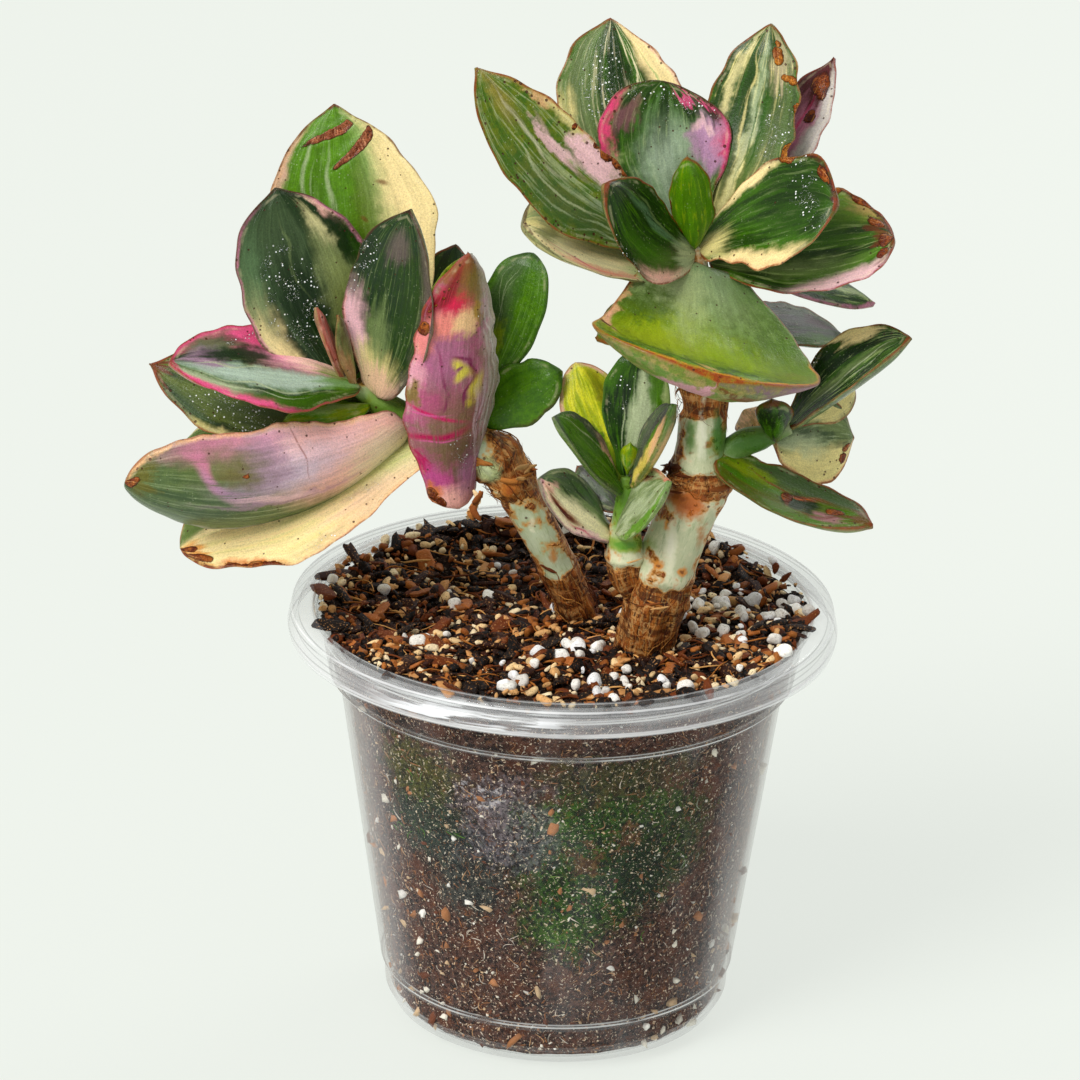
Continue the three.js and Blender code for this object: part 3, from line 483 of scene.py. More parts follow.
                 (0.63, 0.2, 0.61, -0.12, 0.8, "7c1c4c", 1), (0.61, -0.12, 0.53, -0.24, 0.8, "7c1c4c", 1),
                 (0.53, -0.24, 0.42, -0.1, 0.6, "7c1c4c", 1), (0.55, 0.3, 0.47, 0.15, 0.6, "7c1c4c"),
                 (0.47, 0.15, 0.42, 0.3, 0.6, "7c1c4c"), (0.66, 0.5, 0.56, 0.35, 0.5, "8c2c5c", 0.7),
                 (0.6, 0.12, 0.56, -0.08, 1.9, "d8c848", 1), (0.56, -0.06, 0.53, 0.02, 1.3, "d8c848", 1),
                 (0.575, -0.01, 0.565, 0.03, 0.8, "8c4a68", 1),
                 (0.535, -0.3, 0.45, -0.26, 1.3, "d0bc40", 1),
                 (0.43, -0.2, 0.42, -0.18, 1.0, "c8b03c", 0.9), (0.75, -0.5, 0.3, -0.5, 0.7, "d8cccc", 0.5),
                 (0.8, -0.66, 0.2, -0.62, 0.6, "e4dcdc", 0.6),
                 (0.6, -0.42, 0.25, -0.38, 0.5, "d8b8c8", 0.6),
                 (0.5, -0.3, 0.12, -0.35, 0.6, "e4c8d4", 0.5), (0.7, -0.9, 0.15, -0.86, 1.0, "e4dcdc", 0.6),
                 (0.72, 0.8, 0.72, 0.95, 1.8, "burnt", 1)),
        scabs=((0.725, 0.85, 0.02, 0.12), (0.07, 0.8, 0.025, 0.15), (0.04, 0.6, 0.02, 0.15),
               (0.92, 0.42, 0.006, 0.03), (0.885, 0.55, 0.006, 0.03), (0.85, 0.62, 0.006, 0.04),
               (0.82, 0.75, 0.006, 0.04), (0.79, 0.8, 0.006, 0.04)),
        glints=((0.75, -0.4, 0.04, 0.1, 0.8), (0.24, -0.1, 0.06, 0.3, 0.6)),
        margins=(("rust", 0.5, 0.8, 1, 0.1), ("greyWhite", 0.5, 0.6, -1))),
    "left_leaf_long": dict(
        start=(-30, -8, 121.5), end=(-81, -24, 115.6), faces=(0, 0.9, 0.4), width=27, cup=40, arch=6,
        sweep=4.5, neck=0.42, peak=0.5, tip=0.4, base=("5c7040", "445a34"), veins=("silverGreen", 0.25, 18),
        dots=0.5, underShare=0, mottle=0.3, ragged=(5, 1.8), gloss=0.36,
        patches=((0.2, -0.45, 0.32, 0.75, "palePink", 1), (0.45, -0.75, 0.28, 0.5, "f0c4c8", 1, 0.4),
                 (0.3, -0.9, 0.16, 0.2, "f8b8b0", 0.8, 0.7), (0.5, -0.3, 0.2, 0.24, "c8b8c8", 0.8, 0.8),
                 (0.7, -0.85, 0.2, 0.3, "lilacPink", 0.8, 0.6), (0.56, -0.5, 0.1, 0.35, "lilac", 0.85, 0.6),
                 (0.69, -0.48, 0.15, 0.28, "5a6a24", 0.85, 0.9),
                 (0.65, -0.42, 0.06, 0.14, "6a5a18", 0.6, 0.9),
                 (0.1, 0.2, 0.14, 0.6, "paleCream", 0.8, 0.6), (0.97, -0.3, 0.04, 0.5, "olive", 0.7),
                 (0.48, 0.1, 0.24, 0.06, "lilac", 0.5, 0.6), (0.4, 0.9, 0.4, 0.16, "greyWhite", 0.6)),
        strokes=((0.83, -0.75, 0.72, -0.3, 2.6, "lilacPink"), (0.74, -0.35, 0.6, -0.02, 2.6, "lilac"),
                 (0.62, -0.05, 0.4, 0.06, 2.0, "pinkWhite", 0.7),
                 (0.42, -0.95, 0.38, -0.3, 0.35, "rust", 0.6)),
        margins=(("peach", 1.2, 0.8, -1, 0.1), ("greyWhite", 1.1, 0.6, 1, 0.2, 0.95),
                 ("rust", 0.4, 0.7, -1)), scabs=((0.985, -0.1, 0.012, 0.2), (0.62, -0.4, 0.012, 0.03)),
        nicks=((0.9, 1, 0.03, 0.05),)),
    "left_leaf_streaked": dict(
        start=(-39, -9, 129), end=(-73, -22, 137.8), faces=(0.1, -0.5, 1), width=22, cup=25, peak=0.5,
        neck=0.22, base=("midGreen", "deepGreen"), veins=("greyGreen", 0.65, 10), gloss=0.26,
        ragged=(6, 1.5),
        patches=((0.5, -0.2, 0.5, 0.26, "b4c8b4", 0.95), (0.36, 0.66, 0.3, 0.5, "f4a0b8", 1),
                 (0.52, 0.98, 0.5, 0.5, "ee5c8e", 1, 0.35), (0.2, 0.62, 0.16, 0.5, "f8c8b8", 0.95),
                 (0.78, 0.62, 0.14, 0.3, "4c6a40", 0.9, 0.6), (0.86, 0.2, 0.1, 0.35, "lilac", 0.7, 0.6),
                 (0.66, 0.34, 0.22, 0.2, "deepGreen", 0.95, 0.4), (0.85, -0.72, 0.2, 0.2, "silverGreen"),
                 (0.8, -1.0, 0.34, 0.24, "ee5c8e", 1, 0.4), (0.12, 0.0, 0.12, 0.6, "brightGreen", 0.7),
                 (0.4, -0.75, 0.3, 0.16, "midGreen", 0.7)),
        strokes=((0.95, -0.42, 0.3, -0.5, 0.5, "silverGreen"),
                 (0.9, -0.6, 0.4, -0.66, 0.4, "silverGreen", 0.7),
                 (0.95, -0.1, 0.5, 0.1, 0.5, "silverGreen", 0.7)),
        glints=((0.66, 0.72, 0.08, 0.1, 0.9), (0.5, 0.75, 0.08, 0.08, 0.7)),
        margins=(("deepPink", 0.7, 0.7, 0, 0.1), ("rust", 0.35, 0.8))),
    "left_leaf_centre": dict(
        start=(-35.5, -8, 127), end=(-30, -16, 166), faces=(-0.5, -0.85, 0.3), width=22.5, cup=40, sweep=1,
        peak=0.5, tip=0.72, base=("darkGreen", "1a3216"), veins=("greyGreen", 0.4, 18), gloss=0.24,
        dots=0.2, mottle=0.3,
        patches=((0.28, -0.95, 0.26, 0.36, "f0bcc4", 1), (0.12, -0.4, 0.13, 0.9, "cream", 0.8, 0.6),
                 (0.83, -0.1, 0.08, 0.35, "purpleGrey", 0.6, 0.6),
                 (0.55, 0.95, 0.5, 0.3, "purpleGrey", 0.6),
                 (0.32, -0.25, 0.16, 0.25, "greyGreen", 0.7, 0.6),
                 (0.08, 0, 0.08, 0.9, "palePink", 0.6, 0.6)),
        glints=((0.72, -0.82, 0.13, 0.2, 1.2), (0.56, -0.92, 0.06, 0.08, 1)),
        margins=(("coral", 0.8, 0.6, -1, 0.1, 0.5), ("brown", 0.4, 0.8))),
    "left_leaf_bud_left": dict(
        start=(-42, -9, 130), end=(-47, -11, 145), faces=(1, -0.3, 0), width=4, thick=2,
        base=("coral", "palePink"), veins=("palePink", 0.3, 5), dots=0.3, specks=0,
        patches=((0.85, 0, 0.2, 1, "maroon", 0.7, 0.6), (0.1, 0, 0.2, 1, "leafGreen", 0.6, 0.6))),
    "left_leaf_bud_right": dict(
        start=(-40, -9, 129), end=(-43, -12, 144), faces=(-1, 0.2, 0), width=6, cup=30, thick=2,
        base=("olive", "leafGreen"), veins=("burnt", 0.5, 6), dots=0.3, specks=0,
        patches=((0.8, 0, 0.3, 1, "maroon", 0.8, 0.6), (0.3, 0.5, 0.3, 0.5, "coral", 0.5, 0.6))),
    "left_leaf_narrow": dict(
        start=(-37, -8, 125), end=(-53, -16, 124), faces=(0, -0.5, 1), width=8.5, cup=15, thick=4,
        base=("brightGreen", "lime"), veins=("paleGreen", 0.6, 6), gloss=0.22, dots=0,
        patches=((0.4, 0.0, 0.35, 0.25, "paleGreen", 0.7, 0.6),), margins=(("brown", 0.5, 0.8, 0, 0.3),)),
    "left_leaf_round": dict(
        start=(-42, -7, 129), end=(-55, -2, 165), faces=(0.3, -1, 0.4), width=27, cup=18, sweep=-1,
        peak=0.55, tip=0.7, base=("deepGreen", "183010"), veins=("slateGreen", 0.5, 14), gloss=0.24,
        ragged=(5, 2), mottle=0.3,
        patches=((0.8, -0.3, 0.18, 0.5, "slateGreen", 0.7, 0.7),
                 (0.34, -0.98, 0.24, 0.34, "warmCream", 1, 0.6),
                 (0.62, -0.85, 0.2, 0.3, "5c7a50", 0.8, 0.8), (0.45, 0.48, 0.28, 0.22, "98a468", 0.75, 0.9),
                 (0.78, 0.52, 0.09, 0.12, "d0c890", 0.85, 0.8),
                 (0.3, 0.6, 0.22, 0.3, "oliveGreen", 0.5, 0.7), (0.82, 0.9, 0.1, 0.12, "palePink", 0.9),
                 (0.72, 0.78, 0.12, 0.16, "deepGreen", 0.9, 0.4),
                 (0.6, 0.98, 0.2, 0.14, "darkGreen", 0.9, 0.4)),
        strokes=((0.88, 0.1, 0.6, 0.14, 1.4, "slateGreen", 0.7),
                 (0.82, -0.12, 0.5, -0.02, 0.6, "greyGreen", 0.5),
                 (0.6, -0.6, 0.3, -0.4, 1.4, "slateGreen", 0.6)),
        glints=((0.5, -0.25, 0.22, 0.42, 0.8), (0.42, -0.2, 0.04, 0.08, 1)),
        margins=(("lilacPink", 0.9, 0.8, 0, 0.3, 0.92), ("brown", 0.4, 0.8))),
    "left_leaf_tall": dict(
        start=(-38, -4, 126), end=(-45, 12, 177), faces=(0.05, -1, 0.2), width=34, cup=18, peak=0.5,
        tip=0.8, base=("brightGreen", "leafGreen"), veins=("silverGreen", 0.12, 16), specks=0.5, dots=0.25,
        gloss=0.36, mottle=0.6,
        patches=((0.66, 0.6, 0.36, 0.3, "paleGreen", 0.7, 0.7),
                 (0.64, 1.0, 0.32, 0.52, "warmCream", 1, 0.35),
                 (0.8, -1.0, 0.14, 0.14, "palePink", 0.7, 0.6),
                 (0.5, -0.3, 0.2, 0.6, "leafGreen", 0.5, 0.6),
                 (0.6, 0.25, 0.2, 0.15, "oliveGreen", 0.5, 0.7)),
        strokes=((0.9, -0.62, 0.68, -0.45, 1.1, "silverGreen", 0.55),
                 (0.86, -0.16, 0.62, -0.1, 1.0, "silverGreen", 0.5),
                 (0.8, -0.4, 0.66, -0.32, 0.6, "silverGreen", 0.4),
                 (0.74, 0.53, 0.725, 0.56, 1.1, "burnt", 0.7), (0.61, 0.2, 0.6, 0.22, 0.9, "burnt", 0.6)),
        scars=((0.885, -0.62, 0.94, 0.5, 1.5), (0.795, -0.06, 0.915, 0.85, 1.3)),
        rust=("7a3a1e", "a8603c", "d09a70"),
        margins=(("peach", 1.0, 0.6, -1, 0.4, 0.9), ("brown", 0.5, 0.8, 0, 0.75), ("rust", 0.3, 0.5)),
        nicks=((0.965, 1, 0.16, 0.022), (0.84, -1, 0.03, 0.03))),
    "left_leaf_pale": dict(
        start=(-26, -7, 118), end=(-71.7, -12, 97.3), faces=(0, -0.6, 1), width=26, cup=10, tip=0.5,
        neck=0.42, base=("warmCream", "cream"), veins=("peach", 0.25, 12), dots=0.3, specks=0,
        under=("paleCream", "palePink"),
        patches=((0.94, 0.5, 0.1, 0.45, "midGreen", 0.9, 0.4), (0.15, 0, 0.2, 1, "paleGreen", 0.6, 0.7),
                 (0.25, -0.75, 0.2, 0.35, "palePink", 0.5, 0.6), (0.8, -0.98, 0.14, 0.16, "orange", 0.9),
                 (0.97, -0.5, 0.05, 0.45, "amber")),
        scabs=((0.98, -0.35, 0.03, 0.12), (0.95, -0.7, 0.04, 0.12), (0.84, -0.98, 0.03, 0.08),
               (0.77, -0.97, 0.04, 0.08), (0.7, -0.98, 0.03, 0.06)),
        glints=((0.5, -0.88, 0.1, 0.06, 0.5), (0.28, -0.5, 0.08, 0.08, 0.5)),
        margins=(("peach", 1.0, 0.7, -1, -1, 0.65), ("burnt", 0.8, 0.95, -1, 0.66), ("rust", 0.35, 0.7)),
        nicks=((0.84, -1, 0.09, 0.05), (0.74, -1, 0.06, 0.05), (0.62, -1, -0.05, 0.08))),
    "left_leaf_shaded": dict(
        fray=0.4, start=(-38, -5, 125), end=(-78, -4, 131), faces=(0, -0.9, 0.6), width=19, cup=15,
        sweep=-3, peak=0.58, tip=0.9, base=("oliveGreen", "deepGreen"), veins=("greyGreen", 0.5, 12),
        dots=0.5,
        patches=((0.5, -0.2, 0.3, 0.4, "greyGreen", 0.7, 0.7),
                 (0.8, -0.7, 0.1, 0.3, "slateGreen", 0.8, 0.6),
                 (0.62, -0.98, 0.12, 0.14, "cream", 0.8, 0.6), (0.97, 0, 0.04, 1, "burnt")),
        glints=((0.5, -0.3, 0.26, 0.45, 0.8),), margins=(("rust", 0.6, 0.9),)),
    "left_leaf_right_low": dict(
        start=(-18, -4, 120.5), end=(-2, -6, 132), faces=(0, -1, 0.6), width=12.3, cup=10, tip=0.5,
        base=("leafGreen", "midGreen"), veins=("midGreen", 0.4, 10), dots=0.05, gloss=0.26, mottle=0.7,
        margins=(("brown", 0.8, 0.8, 1, 0.4, 0.9), ("darkGreen", 0.5, 0.6)),
        nicks=((0.72, -1, 0.07, 0.05), (0.7, 1, 0.04, 0.05))),
    "left_leaf_right_high": dict(
        start=(-17, -3, 120), end=(-7.6, 4, 151.4), faces=(-0.4, -1, 0.3), width=13.5, cup=20, peak=0.72,
        tip=0.5, neck=0.25, swell=2.2, base=("leafGreen", "midGreen"), veins=("silverGreen", 0.12, 16),
        dots=0.05, gloss=0.26, mottle=0.6,
        patches=((0.75, -0.45, 0.3, 0.45, "slateGreen", 0.7), (0.45, -0.3, 0.12, 0.25, "lime", 0.6, 0.6)),
        strokes=((0.92, -0.3, 0.6, -0.35, 0.16, "silverGreen", 0.4),
                 (0.9, -0.6, 0.65, -0.4, 0.16, "silverGreen", 0.4),
                 (0.85, -0.2, 0.55, -0.5, 0.16, "silverGreen", 0.4)), margins=(("darkGreen", 0.6, 0.7),)),
    "left_leaf_between": dict(
        start=(-24, -2, 120), end=(-19, -2, 153), faces=(-0.5, -0.8, 0.2), width=14, cup=25,
        base=("oliveGreen", "deepGreen"), dots=0.1, margins=(("lime", 1.2, 0.8, -1),)),
    "left_leaf_behind": dict(
        start=(-26, -4, 122), end=(-22, 12, 150), faces=(-0.1, -1, 0.2), width=15, cup=15,
        base=("darkGreen", "deepGreen"), dots=0.1, veins=("midGreen", 0.4, 10)),
    "left_leaf_under": dict(
        start=(-36, -4, 123), end=(-72, 2, 113), faces=(0, -0.3, 1), width=20, cup=10,
        base=("oliveGreen", "midGreen"), patches=((0.6, 0.8, 0.4, 0.3, "cream", 0.9, 0.4),)),
    "left_leaf_inner": dict(
        start=(-41, -5, 130), end=(-57, 6, 136), faces=(0, -0.3, 1), width=14, cup=15,
        base=("leafGreen", "midGreen"), margins=(("brown", 0.9, 0.9),)),
    "left_leaf_back": dict(
        start=(-36, -4, 125), end=(-42, 30, 131), faces=(0, -0.2, 1), width=20,
        patches=((0.55, -0.85, 0.4, 0.4, "warmCream", 1, 0.4), (0.6, 0.9, 0.3, 0.25, "lilacPink"))),
    "left_leaf_back_low": dict(
        start=(-18, -3, 118), end=(-21, 26, 118), faces=(0, 0.1, 1), width=16,
        base=("leafGreen", "midGreen"), patches=((0.6, 0.5, 0.35, 0.3, "cream"),)),
}


def leafOutline(u, leaf):
    opening = np.sin(np.minimum(u / leaf["peak"], 1) * math.pi / 2) ** leaf["swell"]
    opening = leaf["neck"] + (1 - leaf["neck"]) * opening
    past = np.clip((u - leaf["peak"]) / (1 - leaf["peak"]), 0, 1)
    closing = np.maximum(1 - past ** leaf["fall"], 0) ** leaf["tip"]
    return np.where(u < leaf["peak"], opening, closing)


def growLeaf(leaf, seed):  # points, faces and the attributes that its colours are drawn by
    start, end, up = (np.array(leaf[key], float) for key in ("start", "end", "faces"))
    length = np.linalg.norm(end - start)
    along = (end - start) / length
    up = unit(up - (up @ along) * along)
    side = np.cross(along, up)
    bend = math.radians(leaf["cup"])
    rings = max(22, int(length / leafMesh["step"]))
    around = 2 * max(12, int(leaf["width"] / leafMesh["step"]))
    u = (np.sin(np.linspace(0, 1, rings) * math.pi / 2) ** leafMesh["crowd"])[:, None]
    angle = (-2 * math.pi * np.arange(around) / around)[None]
    v, lift = np.cos(angle), np.sin(angle)

    sag, slope = 4 * u * (1 - u), 4 * (1 - 2 * u)
    centre = start + along * length * u - up * leaf["arch"] * sag + side * leaf["sweep"] * sag
    centre = centre + along * leaf["beak"] * np.clip((u - 0.975) / 0.025, 0, 1) ** 2
    tangent = unit(along * length - up * leaf["arch"] * slope + side * leaf["sweep"] * slope)
    top = unit(up - (tangent @ up)[:, None] * tangent)
    out = np.cross(tangent, top)

    foot = np.clip(1 - u * length / leafMesh["foot"], 0, 1)
    share = np.maximum(leafOutline(u, leaf) * np.sqrt(1 - 0.98 * foot ** 2), leafMesh["leastShare"])
    run = np.concatenate([u * length, np.zeros_like(u)], -1)
    wavy = waves(run / 5, 1, seed)[:, None] * (1 + v) + waves(run / 5, 1, seed + 1)[:, None] * (1 - v)
    half = leaf["width"] / 2 * share * (1 + leafMesh["wave"] * wavy)
    frayed = waves(run / 1.1, 1, seed + 5)[:, None] * np.clip(v, 0, 1) ** 2
    frayed = frayed + waves(run / 1.1, 1, seed + 6)[:, None] * np.clip(-v, 0, 1) ** 2
    half = half + leaf["fray"] * frayed * np.minimum(share * 3, 1)
    for at, where, depth, size in leaf["nicks"]:
        half = half * (1 - depth * np.exp(-((u - at) / size) ** 2) * np.clip(v * where, 0, 1) ** 0.7)
    flat = np.stack(np.broadcast_arrays(u * length / 4, v * leaf["width"] / 8), -1)
    relief = leafMesh["lump"] * waves(flat, 1, seed + 2)
    relief = relief + leafMesh["groove"] * waves(flat * np.array([0.4, 5]), 1, seed + 3)
    for u1, v1, u2, v2, width in leaf["scars"]:
        a = np.array([u1 * length, v1 * leaf["width"] / 2])
        b = np.array([u2 * length, v2 * leaf["width"] / 2])
        spread = np.stack(np.broadcast_arrays(u * length, v * leaf["width"] / 2), -1) - a
        t = np.clip(spread @ (b - a) / ((b - a) @ (b - a)), 0, 1)
        off = np.linalg.norm(spread - t[..., None] * (b - a), axis=-1) / width
        relief = relief + (0.5 * np.exp(-(off - 0.7) ** 2 * 12) - 0.45 * np.exp(-off ** 2 * 6)) * (lift > 0)
    middle = leaf["edge"] / 2 + (leaf["thick"] - leaf["edge"]) / 2 * (1 - v * v)
    rise = lift * (middle * np.minimum(1, leafMesh["baseThickness"] + share) + relief * np.sqrt(share))
    x = half * np.sin(bend * v) / bend - rise * np.sin(bend * v)
    z = half * (1 - np.cos(bend * v)) / bend + rise * np.cos(bend * v)
    points = centre[:, None] + out[:, None] * x[..., None] + top[:, None] * z[..., None]

    widen = np.gradient(share[:, 0] * leaf["width"] / 2, u[:, 0] * length)[:, None]
    rim = leaf["width"] / 2 * share * (1 - np.abs(v)) / np.sqrt(1 + widen ** 2)
    blade = np.stack(np.broadcast_arrays(u, v, rim), -1).reshape(-1, 3)
    under = np.broadcast_to(np.clip(0.5 - lift * 2, 0, 1), rim.shape).ravel()
    ends = np.stack([points[0].mean(0), points[-1].mean(0)])
    points = np.concatenate([points.reshape(-1, 3), ends])
    blade = np.concatenate([blade, [[0, 0, 9], [1, 0, 0]]])
    return points, ringFaces(rings, around), dict(blade=blade, under=np.append(under, [0, 0])), length


def paintLeaf(name, leaf, length, seed):
    material, tree = newMaterial(name)
    half = leaf["width"] / 2
    u, v, rim = parts(tree, attribute(tree, "blade"))
    under = attribute(tree, "under", 2)
    place = placeInMm(tree)
    veinTone, veinShare, count = leaf["veins"]

    def streaks(long, wide, turn, detail, rough):  # noise drawn out along the blade
        at = combine(tree, times(tree, u, long), times(tree, v, count * wide), seed * turn)
        return grain(tree, at, 1, detail, rough)

    def mark(space, u1, v1, size, breadth, soft):
        return spot(tree, space, (u1 * length, v1 * half, 0), (size * length, breadth * half, 1), 0, soft)

    def line(space, u1, v1, u2, v2, width, breadth, soft):
        run = ((u2 - u1) * length, (v2 - v1) * half)
        return spot(tree, space, ((u1 + u2) / 2 * length, (v1 + v2) / 2 * half, 0),
                    (math.hypot(*run) / 2 + width / 2, breadth, 1), math.atan2(run[1], run[0]), soft)

    broad = streaks(2.0, 0.42, 3.1, 3, 0.6)
    fine = streaks(4.5, 1.3, 1.7, 4, 0.65)
    wobble = grain(tree, place, 0.3, 3, 0.6)
    crumb = grain(tree, place, 1.9, 2, 0.6)
    grit = grain(tree, place, 3.6, 2, 0.7)
    blotch = grain(tree, place, 0.55, 4, 0.65)
    broad = calc(tree, "ADD", times(tree, broad, 1 - leaf["mottle"]), times(tree, blotch, leaf["mottle"]))
    # the blade in millimetres, with three kinds of wavering for the edges of marks
    alongMm, acrossMm = times(tree, u, length), times(tree, v, half)
    stray, drift = centred(tree, broad), centred(tree, wobble)
    slow = centred(tree, grain(tree, place, 0.1, 1))
    flowing = combine(tree, timesPlus(tree, slow, 5.0, alongMm),
                      timesPlus(tree, slow, 6.0, timesPlus(tree, centred(tree, crumb), 0.5, acrossMm)))
    ragged = combine(tree, timesPlus(tree, stray, leaf["ragged"][0] * 3, alongMm),
                     timesPlus(tree, drift, leaf["ragged"][1] * 3, acrossMm))
    crisp = combine(tree, timesPlus(tree, drift, 2.2, alongMm),
                    timesPlus(tree, drift, 2.6, timesPlus(tree, centred(tree, crumb), 0.45, acrossMm)))

    # ground, veins and pale specks
    colour = tint(tree, fade(tree, broad, 0.4, 0.6), tone(leaf["base"][0]), tone(leaf["base"][1]))
    colour = tint(tree, times(tree, fade(tree, fine, 0.53, 0.66), veinShare), colour, tone(veinTone))
    if leaf["specks"]:
        reach, luck = cells(tree, place, 1.9)
        share = times(tree, fade(tree, reach, 0.34, 0.16), calc(tree, "GREATER_THAN", luck, 0.72))
        share = times(tree, times(tree, share, fade(tree, wobble, 0.4, 0.6)), leaf["specks"])
        colour = tint(tree, share, colour, tone("silverGreen"))

    # variegation, then a painted highlight along the rim
    for *where, shade, strength, soft in leaf["patches"]:
        mask = mark(ragged, *where, soft)
        colour = tint(tree, times(tree, mask, strength), colour, tone(shade))
    for *ends, width, shade, strength in leaf["strokes"]:
        mask = times(tree, line(flowing, *ends, width, width / 2, 0.7), fade(tree, fine, 0.3, 0.5))
        colour = tint(tree, times(tree, mask, strength), colour, tone(shade))
    for shade, width, strength, where, low, high in leaf["margins"]:
        near = fade(tree, timesPlus(tree, drift, width * 1.6, rim), width, width * 0.3)
        span = times(tree, fade(tree, u, low - 0.06, low + 0.06), fade(tree, u, high + 0.06, high - 0.06))
        mask = times(tree, near, span)
        if where:
            mask = times(tree, mask, fade(tree, times(tree, v, where), 0.0, 0.2))
        mask = times(tree, mask, timesPlus(tree, fade(tree, blotch, 0.36, 0.54), 0.6, 0.4))
        colour = tint(tree, times(tree, mask, strength), colour, tone(shade))
    # a thin pale band just inside the margin: a painted highlight along the thick leaf edge
    lip = fade(tree, apart(tree, rim, 0.8), 0.4, 0.1)
    lip = times(tree, lip, times(tree, fade(tree, wobble, 0.48, 0.62), leaf["lip"]))
    colour = tint(tree, lip, colour, tone("paleCream"))

    # corky scabs and scars, with painted highlight streaks, then dark dots
    height = times(tree, fine, 0.5)
    rust = None
    for row in leaf["scabs"]:
        rust = larger(tree, rust, mark(crisp, *row, 0.3))
    for row in leaf["scars"]:
        rust = larger(tree, rust, line(crisp, *row, row[-1] * 0.62, 0.2))
    if rust is not None:
        rust = times(tree, rust, timesPlus(tree, fade(tree, grit, 0.3, 0.46), 0.5, 0.5))
        # the third rust tone is drawn in fine pale streaks on the scabs as a painted highlight
        dark, warm, pale = (tone(shade) for shade in leaf["rust"])
        scabAndHighlightTone = tint(tree, fade(tree, blotch, 0.42, 0.58), dark, warm)
        scabAndHighlightTone = tint(tree, times(tree, fade(tree, fine, 0.56, 0.66), 0.6), scabAndHighlightTone, pale)
        scabAndHighlightTone = tint(tree, fade(tree, rust, 0.55, 0.2), scabAndHighlightTone, tone("3a1408"))
        colour = tint(tree, fade(tree, rust, 0.05, 0.3), colour, scabAndHighlightTone)
        height = timesPlus(tree, times(tree, rust, blotch), 5.0, height)
    if leaf["dots"]:
        reach, luck = cells(tree, place, 0.8)
        size = timesPlus(tree, luck, 0.16, 0.06)
        many = timesPlus(tree, fade(tree, rim, 3.5, 0.5), leaf["dots"] * 1.1, leaf["dots"] * 0.4)
        share = fade(tree, calc(tree, "SUBTRACT", reach, size), 0.1, 0.03)
        share = times(tree, share, calc(tree, "LESS_THAN", luck, many))
        colour = tint(tree, times(tree, share, 0.85), colour, tone("brown"))
        height = calc(tree, "SUBTRACT", height, times(tree, share, 0.6))

    # the lower side
    belowTone = tint(tree, fade(tree, blotch, 0.42, 0.58), tone(leaf["under"][0]), tone(leaf["under"][1]))
    colour = tint(tree, times(tree, under, leaf["underShare"]), colour, belowTone)
    for *where, shade, strength, soft in leaf["underPatches"]:
        mask = times(tree, mark(ragged, *where, soft), under)
        colour = tint(tree, times(tree, mask, strength), colour, tone(shade))
    light = timesPlus(tree, fine, 0.75, timesPlus(tree, grit, 0.9, 0.17))
    colour = scaled(tree, colour, light)

    # water: wet spots, darkened, with painted glints: bright drops and the bright rims of a film
    roughness = timesPlus(tree, wobble, 0.2, leaf["gloss"] - 0.1)
    wet = None
    for *where, strength in leaf["glints"]:
        wet = larger(tree, wet, times(tree, mark(ragged, *where, 0.5), strength))
    if wet is not None:
        reach, luck = cells(tree, place, 1.7)
        # drop and filmGlint are near-white painted highlights, not the colour of the water
        drop = calc(tree, "LESS_THAN", reach, timesPlus(tree, luck, 0.55, -0.22))
        filmGlint = fade(tree, apart(tree, grain(tree, place, 1.2, 1, 0.6), 0.5), 0.024, 0.01)
        broken = times(tree, fade(tree, wobble, 0.5, 0.6), fade(tree, grit, 0.5, 0.56))
        paintedGlint = times(tree, fade(tree, wet, 0.1, 0.5), larger(tree, drop, times(tree, filmGlint, broken)))
        colour = tint(tree, times(tree, wet, 0.4), colour, tone("blackGreen"))
        colour = tint(tree, times(tree, paintedGlint, 0.95), colour, (0.97, 1, 0.98, 1))
        roughness = timesPlus(tree, wet, -0.16, roughness, clamp=True)
        height = timesPlus(tree, paintedGlint, 0.8, height)
    height = timesPlus(tree, crumb, 0.35, height)
    finishShader(tree, colour, roughness, height, 0.3, 0.8, Subsurface_Weight=0.06,
                 Subsurface_Radius=(1.0, 0.8, 0.35), Subsurface_Scale=0.002, Specular_IOR_Level=0.22,
                 Coat_Weight=0.08, Coat_Roughness=0.1)
    return material


for index, (node, row) in enumerate(leafRows.items()):
    leaf = {**leafShape, **leafLook, **row}
    for key, (size, last) in rowEnds.items():
        leaf[key] = [given + last[len(last) + len(given) - size:] for given in leaf[key]]
    points, faces, drawn, length = growLeaf(leaf, 100 + index * 7)
    title = node.replace("_leaf", "")
    makeObject(title + "_blade", points, faces, paintLeaf(title + "_skin", leaf, length, index),
               drawn, [node])
print("leaves grown,", len(leafRows))


